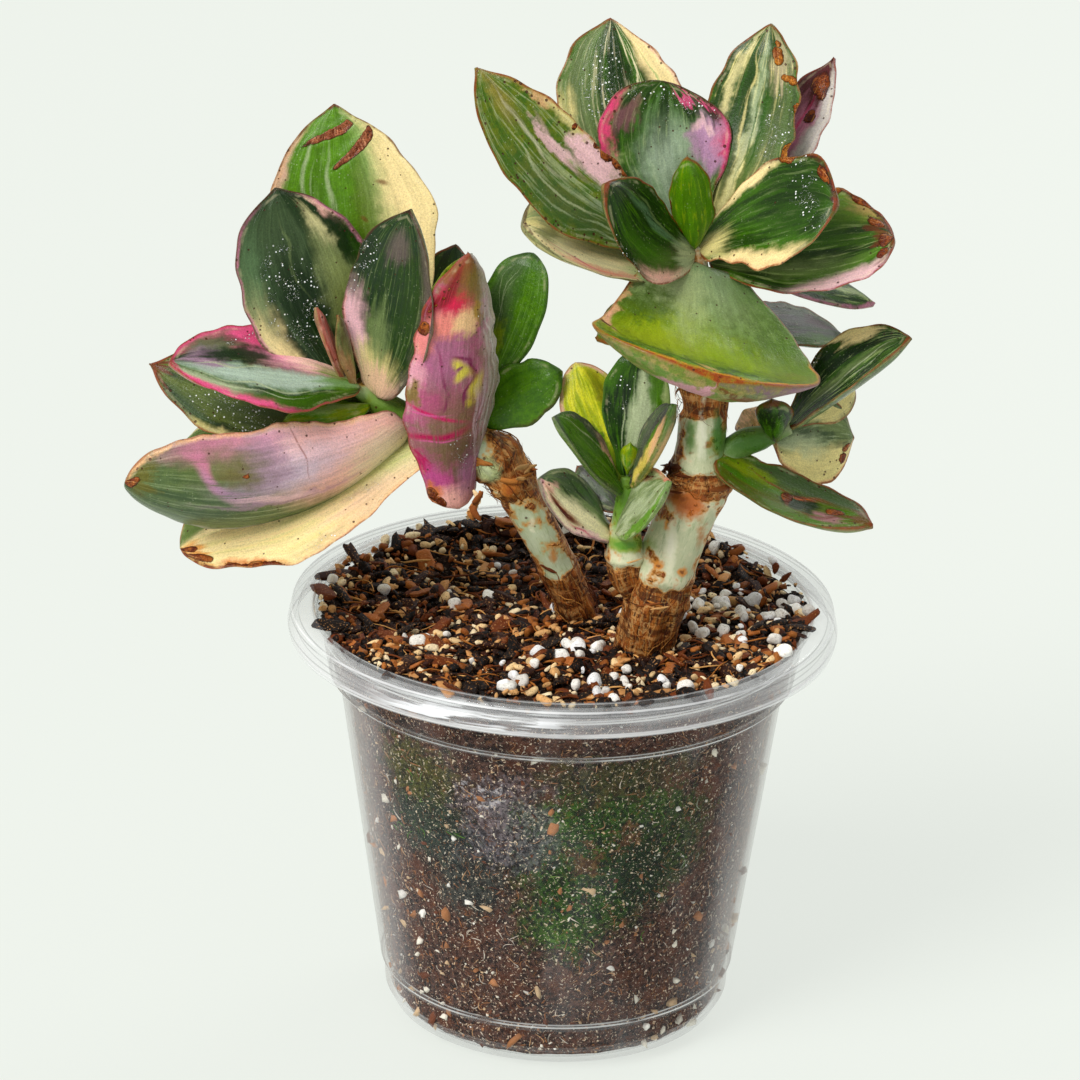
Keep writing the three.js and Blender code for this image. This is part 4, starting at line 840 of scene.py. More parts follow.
# Stems: smooth tubes with swollen nodes, bark low down and pale skin above. collars are
# (height, extra radius, spread) and bark is (lowest, highest).
stemRows = dict(
    right=dict(points=((14, -10, 64), (14.8, -12, 77), (18, -14, 94), (22.4, -14, 108), (24.4, -14, 114),
                       (24.6, -14, 122), (24.4, -13, 134), (23, -13, 147), (22, -13, 155), (22, -13, 160)),
               radii=(5.3, 5.6, 5.6, 5.4, 6.1, 4.6, 4.6, 3.6, 3.0, 2.0),
               collars=((90.5, 0.45, 1.0), (96, 0.4, 1.2), (115, 0.8, 1.1), (118, 0.3, 0.8), (132, 0.4, 2.5)),
               bark=((0, 94.5), (113, 117), (127.5, 137))),
    left=dict(points=((5, 5, 64), (4, 2, 77), (-2, -3, 93), (-8, -5, 105), (-13, -6, 114), (-20, -6, 118),
                      (-28, -6, 121), (-35, -6, 125), (-40, -7, 129)),
              radii=(3.6, 3.9, 3.7, 3.8, 5.0, 3.7, 3.0, 2.6, 1.6),
              collars=((83, 0.5, 1.2), (91, 0.35, 1.5), (110, 0.6, 1.3), (114.5, 0.5, 1.2)),
              bark=((0, 91.5), (107.5, 116))),
    middle=dict(points=((15, -12, 88), (12, -14, 95), (11, -15, 101), (11, -15, 107), (11, -15, 115)),
                radii=(3.0, 3.7, 3.4, 2.6, 1.3), collars=((99.5, 0.5, 0.8), (105, 0.25, 0.8)),
                bark=((0, 98.5),)),
    side=dict(points=((24, -14, 114), (31, -14, 121), (36, -14, 123), (41, -14, 125)),
              radii=(3.0, 2.3, 2.1, 1.3), collars=((122.3, 0.25, 0.8),), bark=()),
)
stemMesh = dict(around=72, perSpan=26, fibre=0.26, lump=0.2, shrink=0.3)


def curveThrough(points, perSpan):  # a smooth line through the points
    points = np.array(points, float)
    ends = np.concatenate([[2 * points[0] - points[1]], points, [2 * points[-1] - points[-2]]])
    t = np.linspace(0, 1, perSpan, endpoint=False)[:, None]
    line = [0.5 * (2 * b + (c - a) * t + (2 * a - 5 * b + 4 * c - d) * t ** 2
                   + (3 * b - a - 3 * c + d) * t ** 3)
            for a, b, c, d in zip(ends, ends[1:], ends[2:], ends[3:])]
    return np.concatenate(line + [points[-1:]])


def barkShare(z, zones):
    share = np.zeros_like(z)
    for low, high in zones:
        zone = np.clip((z - low) / 1.5 + 0.5, 0, 1) * np.clip((high - z) / 1.5 + 0.5, 0, 1)
        share = np.maximum(share, zone)
    return share


def stemLine(row, perSpan):  # centre line, radius, and the directions along, across and forward
    line = curveThrough(row["points"], perSpan)
    radius = np.interp(np.arange(len(line)) / perSpan, np.arange(len(row["radii"])), row["radii"])
    for z, extra, spread in row["collars"]:
        radius = radius + extra * np.exp(-((line[:, 2] - z) / spread) ** 2)
    tangent = unit(np.gradient(line, axis=0))
    across = unit(np.cross(tangent, [0, 1, 0]))
    return line, radius, tangent, across, np.cross(tangent, across)


def growStem(row, seed):  # points, faces, place round the stem in millimetres, share of bark
    line, radius, _, across, front = stemLine(row, stemMesh["perSpan"])
    angle = 2 * math.pi * np.arange(stemMesh["around"]) / stemMesh["around"]
    ring = across[:, None] * np.cos(angle)[None, :, None] + front[:, None] * np.sin(angle)[None, :, None]
    run = np.concatenate([[0], np.cumsum(np.linalg.norm(np.diff(line, axis=0), axis=1))])
    wrap = np.stack(np.broadcast_arrays(radius[:, None] * np.cos(angle), radius[:, None] * np.sin(angle),
                                        run[:, None]), -1)
    rough = barkShare(line[:, 2], row["bark"])[:, None]
    relief = stemMesh["lump"] * waves(wrap / 3, 1, seed) * (0.5 + rough) - stemMesh["shrink"] * rough
    relief = relief + stemMesh["fibre"] * waves(wrap * [1.6, 1.6, 0.25], 1, seed + 1, 14) * (0.15 + rough)
    relief = relief + 0.14 * waves(wrap * [3, 3, 0.5], 1, seed + 2, 14) * rough
    points = line[:, None] + ring * (radius[:, None] + relief)[..., None]
    wrap = np.concatenate([wrap.reshape(-1, 3), wrap[0].mean(0)[None], wrap[-1].mean(0)[None]])
    rough = np.append(np.broadcast_to(rough, relief.shape).ravel(), [0, 0])
    points = np.concatenate([points.reshape(-1, 3), line[:1], line[-1:]])
    return points, ringFaces(len(line), stemMesh["around"]), wrap, rough


def joinMeshes(meshes):  # several (points, faces, attribute arrays...) as one
    count, points, faces, rest = 0, [], [], []
    for mesh in meshes:
        points.append(mesh[0])
        faces.append([f + count for f in mesh[1]])
        rest.append(mesh[2:])
        count += len(mesh[0])
    groups = [np.concatenate([f[k] for f in faces]) for k in range(len(faces[0]))]
    return (np.concatenate(points), groups, *(np.concatenate(column) for column in zip(*rest)))


def paintStem(name, skin, spotsAndHighlights, flanks):
    material, tree = newMaterial(name)
    place = placeInMm(tree)
    wrap = attribute(tree, "wrap")
    rough = attribute(tree, "rough", 2)
    drawnOut = stretched(tree, wrap, 1, 1, 0.16)
    fibre = grain(tree, drawnOut, 1.5, 4, 0.65)
    thread = grain(tree, drawnOut, 4.2, 2, 0.6)
    patch = grain(tree, place, 0.28, 3, 0.6)
    crumb = grain(tree, place, 2.2, 3, 0.65)
    colour = tint(tree, fade(tree, patch, 0.38, 0.62), tone(skin[0]), tone(skin[1]))
    colour = tint(tree, times(tree, fade(tree, fibre, 0.55, 0.68), 0.55), colour, tone(skin[2]))
    colour = tint(tree, times(tree, fade(tree, thread, 0.6, 0.7), 0.3), colour, tone("f2efd6"))
    net = add(tree, "TexVoronoi", {"Vector": bent(tree, drawnOut, place, 0.7, 1.2), "Scale": 0.62},
              feature="DISTANCE_TO_EDGE")
    bark = tint(tree, fade(tree, fibre, 0.38, 0.58), tone("4a200c"), tone("a8601f"))
    bark = tint(tree, times(tree, fade(tree, thread, 0.54, 0.66), 0.6), bark, tone("d09448"))
    bark = tint(tree, times(tree, fade(tree, patch, 0.52, 0.66), 0.5), bark, tone("b0561a"))
    bark = tint(tree, times(tree, fade(tree, net, 0.07, 0.02), 0.5), bark, tone("dcb070"))
    belt = grain(tree, stretched(tree, wrap, 0.16, 0.16, 1), 0.8, 4, 0.65)
    bark = tint(tree, times(tree, fade(tree, belt, 0.46, 0.4), 0.7), bark, tone("3a1808"))
    bark = tint(tree, times(tree, fade(tree, belt, 0.55, 0.62), 0.6), bark, tone("e0a460"))
    ringX, ringY, _ = parts(tree, wrap)
    aside = calc(tree, "DIVIDE", calc(tree, "ABSOLUTE", ringX), reachOf(tree, ringX, ringY))
    edge = timesPlus(tree, fade(tree, aside, 0.6, 0.95), flanks, rough)
    edge = calc(tree, "ADD", edge, times(tree, centred(tree, patch), 3.2))
    barked = fade(tree, edge, 0.4, 0.62)
    colour = tint(tree, fade(tree, edge, 0.05, 0.5), colour, tone("c98a3e"))
    colour = tint(tree, barked, colour, bark)
    ragged = bent(tree, place, place, 0.6, 1.6)
    # some of these are tall pale stripes: painted highlights along the stem
    for x, y, z, width, tall, outer, inner in spotsAndHighlights:
        at = (x + 0.8, y + 0.8, z + 0.8)  # the middle of the push, 0.8 a side, is added back
        for share, strength, shade in ((1, 0.9, outer), (0.45, 0.8, inner)):
            mask = spot(tree, ragged, at, (width * share, width * share, tall * share), 0, 0.4)
            colour = tint(tree, times(tree, mask, strength), colour, tone(shade))
    reach, luck = cells(tree, place, 0.5)
    share = times(tree, fade(tree, reach, 0.18, 0.1), calc(tree, "LESS_THAN", luck, 0.3))
    colour = tint(tree, times(tree, share, 0.8), colour, tone("brown"))
    height = timesPlus(tree, fibre, timesPlus(tree, barked, 2.2, 0.4), times(tree, crumb, 0.3))
    finishShader(tree, colour, timesPlus(tree, barked, 0.2, 0.36), height, 0.45, 0.9, Specular_IOR_Level=0.3)
    return material


# Spots on the skin, and tall pale cream spots that are painted highlights: place, half width, half height,
# outer tone, inner tone
rightSpotsAndHighlights = (
    (18.5, -19, 106.8, 1.0, 1.0, "amber", "burnt"), (17.3, -19, 99.0, 1.1, 1.0, "amber", "burnt"),
    (21.8, -19, 97.6, 0.9, 1.0, "amber", "burnt"), (22.5, -19, 111.5, 3.2, 2.8, "c96a24", "a8501c"),
    (25.8, -18.5, 122.9, 1.0, 0.8, "c8402a", "8c2416"), (22.6, -18.5, 121.2, 0.5, 0.5, "rust", "maroon"),
    (22.0, -18.5, 125, 1.5, 4.0, "4f7a2c", "4f7a2c"), (27.5, -17, 124.5, 1.2, 4.5, "4a7a34", "4a7a34"),
    (11, -18, 102.6, 5, 1.6, "7fa02e", "4c8a1e"), (11, -18, 109, 4, 5, "6f9a36", "6f9a36"),
    (34, -16, 122.5, 9, 4, "4f8022", "3c6e18"), (11, -15, 112, 3, 7, "5c8a1e", "5c8a1e"),
    # the tall pale cream rows (eeeccc, e8e8cc) are painted highlights
    (24.5, -18, 108, 1.2, 5, "b5702c", "8a4818"), (19.4, -19.5, 103, 1.1, 6, "eeeccc", "f6f2d8"),
    (24.5, -18.5, 127, 1.0, 7, "e8e8cc", "f2f0d8"), (20, -19, 112.5, 5, 1.5, "b5642a", "8a4418"),
)
leftSpotsAndHighlights = (
    (-10.5, -11, 110, 2.2, 1.8, "c9782c", "a8551e"), (-15, -11, 114, 2.4, 2.6, "b5c48a", "c4cfa0"),
    # the tall pale cream row (eeeccc) is a painted highlight
    (-2, -8, 96, 1.1, 3.5, "c07c34", "a35a20"), (-6.5, -9, 99, 0.9, 5, "eeeccc", "f6f2d8"),
    (-34, -9, 123, 14, 6, "6f9426", "5c8420"),
)
stemPieces = dict(
    right_stem=(("right", "middle", "side"), ("c6cba4", "e2ddba", "93a672"), rightSpotsAndHighlights, 0.25),
    left_stem=(("left",), ("bfc9a8", "b4be92", "93a672"), leftSpotsAndHighlights, 0.62),
)
for index, (node, (names, skin, spotsAndHighlights, flanks)) in enumerate(stemPieces.items()):
    points, faces, wrap, rough = joinMeshes([growStem(stemRows[name], 900 + 10 * i + 40 * index)
                                             for i, name in enumerate(names)])
    makeObject(node + "_bark", points, faces, paintStem(node + "_skin", skin, spotsAndHighlights, flanks),
               dict(wrap=wrap, rough=rough), [node])
print("stems grown")


def growThreads(paths, radii, sides, thin=1.0):  # thin tubes along many paths at once
    paths = np.asarray(paths, float)
    count, steps, _ = paths.shape
    tangent = unit(np.gradient(paths, axis=1))
    helper = np.where(np.abs(tangent[..., 2:]) > 0.9, [1.0, 0, 0], [0, 0, 1.0])
    across = unit(np.cross(tangent, helper))
    upward = np.cross(tangent, across)
    angle = 2 * math.pi * np.arange(sides) / sides
    taper = 1 - 0.75 * np.abs(np.linspace(-1, 1, steps)) ** 3
    ring = across[:, :, None] * np.cos(angle)[:, None] * thin + upward[:, :, None] * np.sin(angle)[:, None]
    points = paths[:, :, None] + ring * (np.asarray(radii)[:, None] * taper)[..., None, None]
    quads = ringFaces(steps, sides)[0]
    caps = np.array([np.arange(sides)[::-1], (steps - 1) * sides + np.arange(sides)])
    start = (np.arange(count) * steps * sides)[:, None, None]
    return points.reshape(-1, 3), [(quads + start).reshape(-1, 4), (caps + start).reshape(-1, sides)]


def paintShade(name, roughness, bumpScale, depth, contrast=0.5, speck=None):  # each bit has its own tone
    material, tree = newMaterial(name)
    place = placeInMm(tree)
    crumb = grain(tree, place, bumpScale, 3, 0.65)
    shade = attribute(tree, "shade", 0)
    colour = scaled(tree, shade, timesPlus(tree, crumb, contrast * 2, 1 - contrast))
    if speck:
        mask = fade(tree, grain(tree, place, bumpScale * 1.7, 2), 0.6, 0.68)
        colour = tint(tree, times(tree, mask, 0.7), colour, tone(speck))
    finishShader(tree, colour, roughness, crumb, depth, 0.8, Specular_IOR_Level=0.2)
    return material


def shadesFrom(dice, names, weights, count, spread=0.18):
    colours = np.array([tone(name) for name in names])
    pick = dice.choice(len(names), count, p=np.array(weights) / sum(weights))
    shades = colours[pick].copy()
    shades[:, :3] *= dice.uniform(1 - spread, 1 + spread, (count, 1))
    return shades


# Bark fibres that lie round the stems: stem, lowest, highest, count, slant, radius
fibreRows = dict(
    right_stem=(("right", 80, 94, 90, 1.6, 0.09), ("right", 113, 118, 46, 0.3, 0.1),
                ("right", 127, 137, 40, 1.2, 0.08), ("middle", 94, 99, 24, 0.7, 0.08)),
    left_stem=(("left", 80, 91, 90, 1.6, 0.09), ("left", 108, 116, 60, 1.0, 0.1)),
)
fibreTones = ("c88a44", "9c5a24", "6a3010", "3c1808", "dcae74"), (3, 5, 5, 4, 1)
# Papery bark that peels at the nodes: stem, lowest, highest, count, lift, half width
flakeRows = dict(
    right_stem=(("right", 113, 117.5, 22, 1.5, 0.65), ("right", 90, 93, 10, 0.7, 0.5),
                ("middle", 97, 100, 8, 0.6, 0.4), ("right", 131, 136, 8, 0.6, 0.5)),
    left_stem=(("left", 108.5, 115.5, 22, 1.6, 0.7), ("left", 89, 92, 8, 0.6, 0.5)),
)
flakeTones = ("b87434", "8a4a1c", "dcaa6c", "5a2a10", "e8c898"), (4, 4, 3, 2, 1)
barkMesh = dict(perSpan=12, fibreSteps=9, fibreSides=5, flakeSteps=11, flakeSides=6, flakeThin=0.16)
fibreMaterial = paintShade("bark_fibre", 0.7, 3.0, 0.1, 0.3)


def barkPieces(name, paths, radii, tones, sides, thin, dice):
    points, faces = growThreads(paths, radii, sides, thin)
    shades = shadesFrom(dice, *tones, len(paths))
    makeObject(name, points, faces, fibreMaterial,
               dict(shade=np.repeat(shades, len(paths[0]) * sides, 0)))


for index, (node, rows) in enumerate(fibreRows.items()):
    dice = np.random.default_rng(40 + index)
    paths, radii = [], []
    for stem, low, high, count, slant, width in rows:
        line, radius, tangent, across, front = stemLine(stemRows[stem], barkMesh["perSpan"])
        for _ in range(count):
            t = np.linspace(-1, 1, barkMesh["fibreSteps"])
            z = dice.uniform(low, high) + t * dice.uniform(0.6, 3.4) * slant
            at = np.interp(z, line[:, 2], np.arange(len(line)))
            turn = dice.uniform(0, 2 * math.pi) + t * dice.uniform(-0.5, 0.5) + 0.1 * np.sin(t * 3 + z[0])
            near = np.clip(np.floor(at).astype(int), 0, len(line) - 1)
            centre = line[near] + (at - near)[:, None] * tangent[near]
            away = radius[near] + dice.uniform(0.0, 0.5) * np.abs(t) ** 4
            outward = across[near] * np.cos(turn)[:, None] + front[near] * np.sin(turn)[:, None]
            paths.append(centre + outward * away[:, None])
            radii.append(dice.uniform(0.4, 1) * width)
    barkPieces(node + "_fibres", paths, radii, fibreTones, barkMesh["fibreSides"], 1.0, dice)
for index, (node, rows) in enumerate(flakeRows.items()):
    dice = np.random.default_rng(60 + index)
    paths, radii = [], []
    t = np.linspace(0, 1, barkMesh["flakeSteps"])
    for stem, low, high, count, lift, width in rows:
        line, radius, *_ = stemLine(stemRows[stem], barkMesh["perSpan"])
        for _ in range(count):
            z = dice.uniform(low, high) + t * dice.uniform(-1.6, 1.6)
            turn = dice.uniform(0, 2 * math.pi) + t * dice.uniform(0.4, 1.3) * dice.choice([-1, 1])
            peel = dice.uniform(0.2, 1) * lift
            away = np.interp(z, line[:, 2], radius) + 0.1 + peel * t ** 3 + 0.25 * peel * np.sin(t * 7) * t
            centre = np.stack([np.interp(z, line[:, 2], line[:, k]) for k in range(3)], -1)
            paths.append(centre + np.stack([np.cos(turn), np.sin(turn), 0.5 * t ** 2 * peel], -1)
                         * np.stack([away, away, np.ones_like(away)], -1))
            radii.append(dice.uniform(0.4, 1) * width)
    if node == "left_stem":  # a dried scrap that hangs below the front leaf
        for k in range(3):
            paths.append(np.stack([-17.6 + 0.5 * k + 0.9 * np.sin(5 * t + k),
                                   -12.6 - 0.3 * k + 0.5 * np.cos(4 * t), 110.5 - 5.6 * t], -1))
            radii.append(0.8)
    barkPieces(node + "_flakes", paths, radii, flakeTones, barkMesh["flakeSides"], barkMesh["flakeThin"],
               dice)
print("bark fibres laid")


# Potting mix: a lumpy body that follows the inside of the pot, then loose pieces over it
potShape = dict(
    wall=1.0, gap=0.3,
    side=((28, 0), (31.4, 1.4), (33.4, 4.6), (33.6, 9.4), (34.3, 10.1), (42.6, 68.8), (44.5, 70),
          (45.8, 77.6)),
    rim=((47.7, 82.3), (50.3, 82.3), (51.4, 77.7), (52, 77.7), (52.4, 79.3), (51.5, 83.5), (48, 83.5),
         (47, 82.3)),
    round=0.55, sides=180, drainCount=5, drainRadius=1.8, drainRing=20,
)
mixShape = dict(height=79.4, step=0.9, sides=300, lump=1.1, crumb=0.5, depth=0.35, edge=45.6, heap=1.6)
wallTurn = 38  # the wall is unrolled at this radius, so that its marks are in millimetres


def sideInset(inset):  # the pot's outline moved inwards
    side = np.array(potShape["side"], float)
    before = side[np.maximum(np.arange(len(side)) - 1, 0)]
    after = side[np.minimum(np.arange(len(side)) + 1, len(side) - 1)]
    run = unit(after - before)
    return side + inset * np.stack([-run[:, 1], run[:, 0]], -1)


def evenly(profile, step):  # the same line with a point every step
    profile = np.array(profile, float)
    run = np.concatenate([[0], np.cumsum(np.linalg.norm(np.diff(profile, axis=0), axis=1))])
    at = np.linspace(0, run[-1], int(run[-1] / step) + 1)
    return np.stack([np.interp(at, run, profile[:, 0]), np.interp(at, run, profile[:, 1])], -1)


def revolve(profile, sides):  # rings of points round Z; the first and last profile points lie on it
    angle = 2 * math.pi * np.arange(sides) / sides
    return np.stack(np.broadcast_arrays(profile[:, :1] * np.cos(angle), profile[:, :1] * np.sin(angle),
                                        profile[:, 1:]), -1)


def mixHeight(x, y):  # top of the mix: lumpy, low at the stems, heaped at the back and at the wall
    spread = np.stack([x, y], -1)
    near = np.exp(-((x - 15) ** 2 + (y + 11) ** 2) / 60)
    back = np.clip((y + 5) / 40, 0, 1)
    reach = np.hypot(x, y)
    lumps = 0.6 * waves(spread / 9, 1, 21) + 0.45 * waves(spread / 3.2, 1, 22)
    tall = mixShape["height"] + mixShape["lump"] * lumps - 0.8 * near + 1.8 * back
    tall = tall + mixShape["heap"] * np.clip((reach - 34) / 12, 0, 1) ** 2
    return np.where(reach > 43.5, np.clip(tall, 77.6 + (reach - 44.5) * 2.47 + 0.5, 82.2), tall)


inner = sideInset(potShape["wall"] + potShape["gap"])
profile = evenly([(0.2, inner[0, 1]), *inner, (mixShape["edge"], mixShape["height"] + 1),
                  (0.2, mixShape["height"])], mixShape["step"])
body = revolve(profile, mixShape["sides"])
flatRadius = np.hypot(body[..., 0], body[..., 1])
isTop = body[..., 2] > mixShape["height"] - 0.2
bump = np.clip(waves(body / 1.3, 1, 31, 14) * 0.5 + waves(body / 0.6, 1, 32, 14) * 0.35, -1, 1)
inward = mixShape["depth"] * (0.9 + bump) * ~isTop + 0.35 * isTop
body[..., :2] *= (1 - inward / np.maximum(flatRadius, 1) * (flatRadius > 3))[..., None]
topZ = mixHeight(body[..., 0], body[..., 1]) + mixShape["crumb"] * bump * (flatRadius < 45)
body[..., 2] = np.where(isTop, topZ, body[..., 2])
rings, around, _ = body.shape
bodyPoints = np.concatenate([body.reshape(-1, 3), [[0, 0, body[0, 0, 2]], [0, 0, body[-1, 0, 2]]]])


def paintMix():
    material, tree = newMaterial("potting_mix")
    place = placeInMm(tree)
    ragged = bent(tree, place, place, 0.9, 1.6)
    coarse = grain(tree, place, 0.16, 3, 0.6)
    crumb = grain(tree, ragged, 1.1, 4, 0.7)
    thread = grain(tree, stretched(tree, ragged, 1, 1, 0.45), 2.2, 3, 0.6)
    colour = tint(tree, fade(tree, crumb, 0.4, 0.62), tone("1c100c"), tone("66463a"))
    colour = tint(tree, times(tree, fade(tree, coarse, 0.46, 0.66), 0.5), colour, tone("6e3a20"))
    x, y, z = parts(tree, ragged)
    turn = calc(tree, "ARCTAN2", x, times(tree, y, -1))
    wall = bent(tree, combine(tree, times(tree, turn, wallTurn), z), place, 0.42, 22, 5, 0.7)
    for across, tall, breadth, reach, shade, strength in mossRows:
        mask = spot(tree, wall, (across + 11, tall + 11, 0), (breadth, reach, 60), 0, 0.3)
        colour = tint(tree, times(tree, mask, strength), colour,
                      tint(tree, fade(tree, crumb, 0.4, 0.6), tone(shade[0]), tone(shade[1])))
    colour = tint(tree, times(tree, fade(tree, thread, 0.6, 0.66), 0.5), colour, tone("a06a3c"))
    pale = fade(tree, grain(tree, ragged, 2.2, 1), 0.65, 0.69)
    colour = tint(tree, times(tree, pale, 0.9), colour, tone("f0dcc0"))
    # the top of the body, seen between the loose grains, is darkened nearly to black: painted shade in the
    # gaps
    paintedGapShade = times(tree, fade(tree, reachOf(tree, x, y), 45.6, 45.2), fade(tree, z, 79.2, 79.8))
    colour = tint(tree, times(tree, paintedGapShade, 0.75), colour, tone("0a0503"))
    finishShader(tree, colour, 0.85, crumb, 0.8, 0.9, Specular_IOR_Level=0.15)
    return material


mossRows = (  # moss and damp behind the wall: across, height, half breadth, half height, tones, strength
    (9, 48, 17, 15, ("0c1a06", "2c5a0a"), 0.95), (3, 34, 10, 8, ("101e08", "345f0e"), 0.9),
    (23, 50, 9, 11, ("14200a", "3c541a"), 0.8), (-27, 52, 10, 9, ("121e16", "2c4430"), 0.9),
    (-29, 62, 10, 6, ("282808", "5a5c1c"), 0.85), (-18, 42, 8, 10, ("182020", "3c4a44"), 0.8),
    (-2, 57, 6, 3, ("1e400a", "5c8c14"), 0.5), (17, 59, 8, 3, ("1a380a", "487018"), 0.5),
    (2, 31, 4, 3, ("1e400a", "5c8c14"), 0.5), (17, 44, 7, 9, ("0a160a", "1c341a"), 0.8),
    (-9, 55, 9, 9, ("322e34", "8a868e"), 0.6), (12, 66, 16, 3, ("282e0e", "505a24"), 0.6),
    (6, 47, 3, 3, ("50301c", "8a5a3a"), 0.7), (14, 52, 3, 2, ("50301c", "8a5a3a"), 0.7),
    (-14, 60, 3, 2, ("6a6468", "d8d4d8"), 0.7), (-10, 48, 12, 3, ("2c2a30", "6e6a74"), 0.4),
)
makeObject("potting_mix_body", bodyPoints, ringFaces(rings, around), paintMix(),
           replaces=["soil"])


def ballShape(level, seed, rough, boxy=0.0):  # a lumpy grain, rounder or boxier
    ball = bmesh.new()
    bmesh.ops.create_icosphere(ball, subdivisions=level, radius=1)
    points = np.array([v.co for v in ball.verts])
    faces = np.array([[v.index for v in f.verts] for f in ball.faces])
    ball.free()
    points = np.sign(points) * np.abs(points) ** (1 - boxy)
    return points * (1 + rough * waves(points * 1.7, 1.6, seed)[:, None]), faces


def turnsFrom(dice, count, tilt):  # random turns about Z, tipped by up to tilt
    spin, lean = dice.uniform(0, 2 * math.pi, count), dice.uniform(-tilt, tilt, count)
    head = dice.uniform(0, 2 * math.pi, count)
    made = [(Quaternion((math.cos(h), math.sin(h), 0), a) @ Quaternion((0, 0, 1), s)).to_matrix()
            for s, a, h in zip(spin, lean, head)]
    return np.array(made)


def scatter(name, shapes, places, sizes, turns, shades, material):  # many grains as one mesh
    meshes = []
    for k, (shape, faces) in enumerate(shapes):
        pick = np.arange(len(places)) % len(shapes) == k
        points = np.einsum("nij,nmj->nmi", turns[pick], shape[None] * sizes[pick][:, None])
        points = (points + places[pick][:, None]).reshape(-1, 3)
        start = (np.arange(pick.sum()) * len(shape))[:, None, None]
        meshes.append((points, [(faces + start).reshape(-1, 3)], np.repeat(shades[pick], len(shape), 0)))
    points, faces, shade = joinMeshes(meshes)
    return makeObject(name, points, faces, material, dict(shade=shade))


def onTop(dice, count, sink, reach=46.4, where=None):  # places on the mix, all over or in a heap
    spread, angle = reach * np.sqrt(dice.uniform(0, 1, count)), dice.uniform(0, 2 * math.pi, count)
    x, y = spread * np.cos(angle), spread * np.sin(angle)
    if where is not None:
        x, y = where[0] + dice.normal(0, where[2], count), where[1] + dice.normal(0, where[2], count)
        far = np.maximum(np.hypot(x, y) / reach, 1)
        x, y = x / far, y / far
    return np.stack([x, y, mixHeight(x, y) + sink], -1)


crumbShapes = [ballShape(2, 60 + k, 0.34) for k in range(6)]
chipShapes = [ballShape(2, 70 + k, 0.18, 0.55) for k in range(5)]
pebbleShapes = [ballShape(2, 80 + k, 0.13, 0.25) for k in range(5)]
puffShapes = [ballShape(3, 90 + k, 0.12, 0.15) for k in range(4)]
mixRows = (
    dict(name="peat_crumbs", shapes=crumbShapes, count=2000, size=(0.4, 1.9), form=(1, 0.65, 0.55),
         tilt=1.4, sink=0.3, tones=("120703", "1e0c05", "341407", "070302", "6a300c"),
         weights=(5, 4, 3, 5, 1.6), gloss=0.6, speck="8a5424"),
    dict(name="bark_chips", shapes=chipShapes, count=720, size=(0.7, 3.2), form=(1, 0.4, 0.16),
         tilt=0.8, sink=0.8, tones=("2e1206", "6a300c", "a8602a", "120603", "d09458"),
         weights=(5, 4, 2.4, 5, 1.2), gloss=0.55, speck="c89058"),
    dict(name="tan_grains", shapes=pebbleShapes, count=1250, size=(0.25, 1.35), form=(1, 0.62, 0.5),
         tilt=1.4, sink=0.8, tones=("d8a468", "a8642a", "f8e2b8", "8a4c1a", "f4d098"),
         weights=(4, 3, 4, 3, 4), gloss=0.5, speck="5a2c10"),
    dict(name="perlite", shapes=puffShapes, count=34, size=(0.6, 1.7), form=(1, 0.85, 0.8), tilt=1.4,
         skew=1, sink=1.3, tones=("fdfbf4", "f0ece4", "ffffff"), weights=(3, 2, 3), gloss=0.5,
         speck="a89888"),
)
perliteHeaps = ((22, (34, 0, 7)), (9, (3, -16, 2.2)), (16, (26, 9, 8)), (8, (-8, -29, 5)), (8, (8, -34, 6)))
for index, row in enumerate(mixRows):
    dice = np.random.default_rng(300 + index)
    places = onTop(dice, row["count"], row["sink"])
    if row["name"] == "perlite":  # most of it lies at the right and in front of the stems
        places = np.concatenate([places, *(onTop(dice, n, 1.4, where=heap) for n, heap in perliteHeaps)])
    count = len(places)
    share = dice.uniform(0, 1, (count, 1)) ** row.get("skew", 1.8)  # many small ones, few large
    sizes = (row["size"][0] + share * (row["size"][1] - row["size"][0])) * row["form"]
    sizes = sizes * dice.uniform(0.75, 1.3, (count, 3))
    shades = shadesFrom(dice, row["tones"], row["weights"], count)
    material = paintShade(row["name"] + "_skin", row["gloss"], 1.6, 0.3, 0.45, row["speck"])
    scatter(row["name"], row["shapes"], places, sizes, turnsFrom(dice, count, row["tilt"]), shades, material)
print("potting mix filled")

# Fibres on the mix, and fine fibres and grains pressed against the wall
topFibres = dict(count=620, reach=44, length=(2, 8), radius=(0.08, 0.24), curl=0.5, steps=7, sides=5,
                 tones=("6a3410", "a8682c", "2e1206", "dca460"), weights=(4, 4, 3, 2))
wallFibres = dict(count=2600, height=(3, 76), length=(0.3, 1.4), radius=(0.05, 0.13), curl=1.1, steps=5,
                  sides=3, depth=0.12, tones=("a0683c", "c99c70", "6a3a20", "e0d4c4"),
                  weights=(4, 2, 4, 1.5), mossTones=("264a0c", "4a7c14", "16300c", "7c9a4c", "a0a890"),
                  mossWeights=(4, 2, 4, 0.8, 0.7))
wallGrains = dict(count=1600, low=3, tall=74, depth=0.3, size=0.15, tones=("efe8d8", "d8b890", "b0764a",
                  "f6f2ea", "6a3a22"), weights=(3, 3, 3, 1.5, 2))


def onWall(turn, z, depth):  # a place behind the wall, by its turn from the front and its height
    r = np.interp(z, inner[:, 1], inner[:, 0]) - depth
    return np.stack([r * np.sin(turn), -r * np.cos(turn), z], -1)


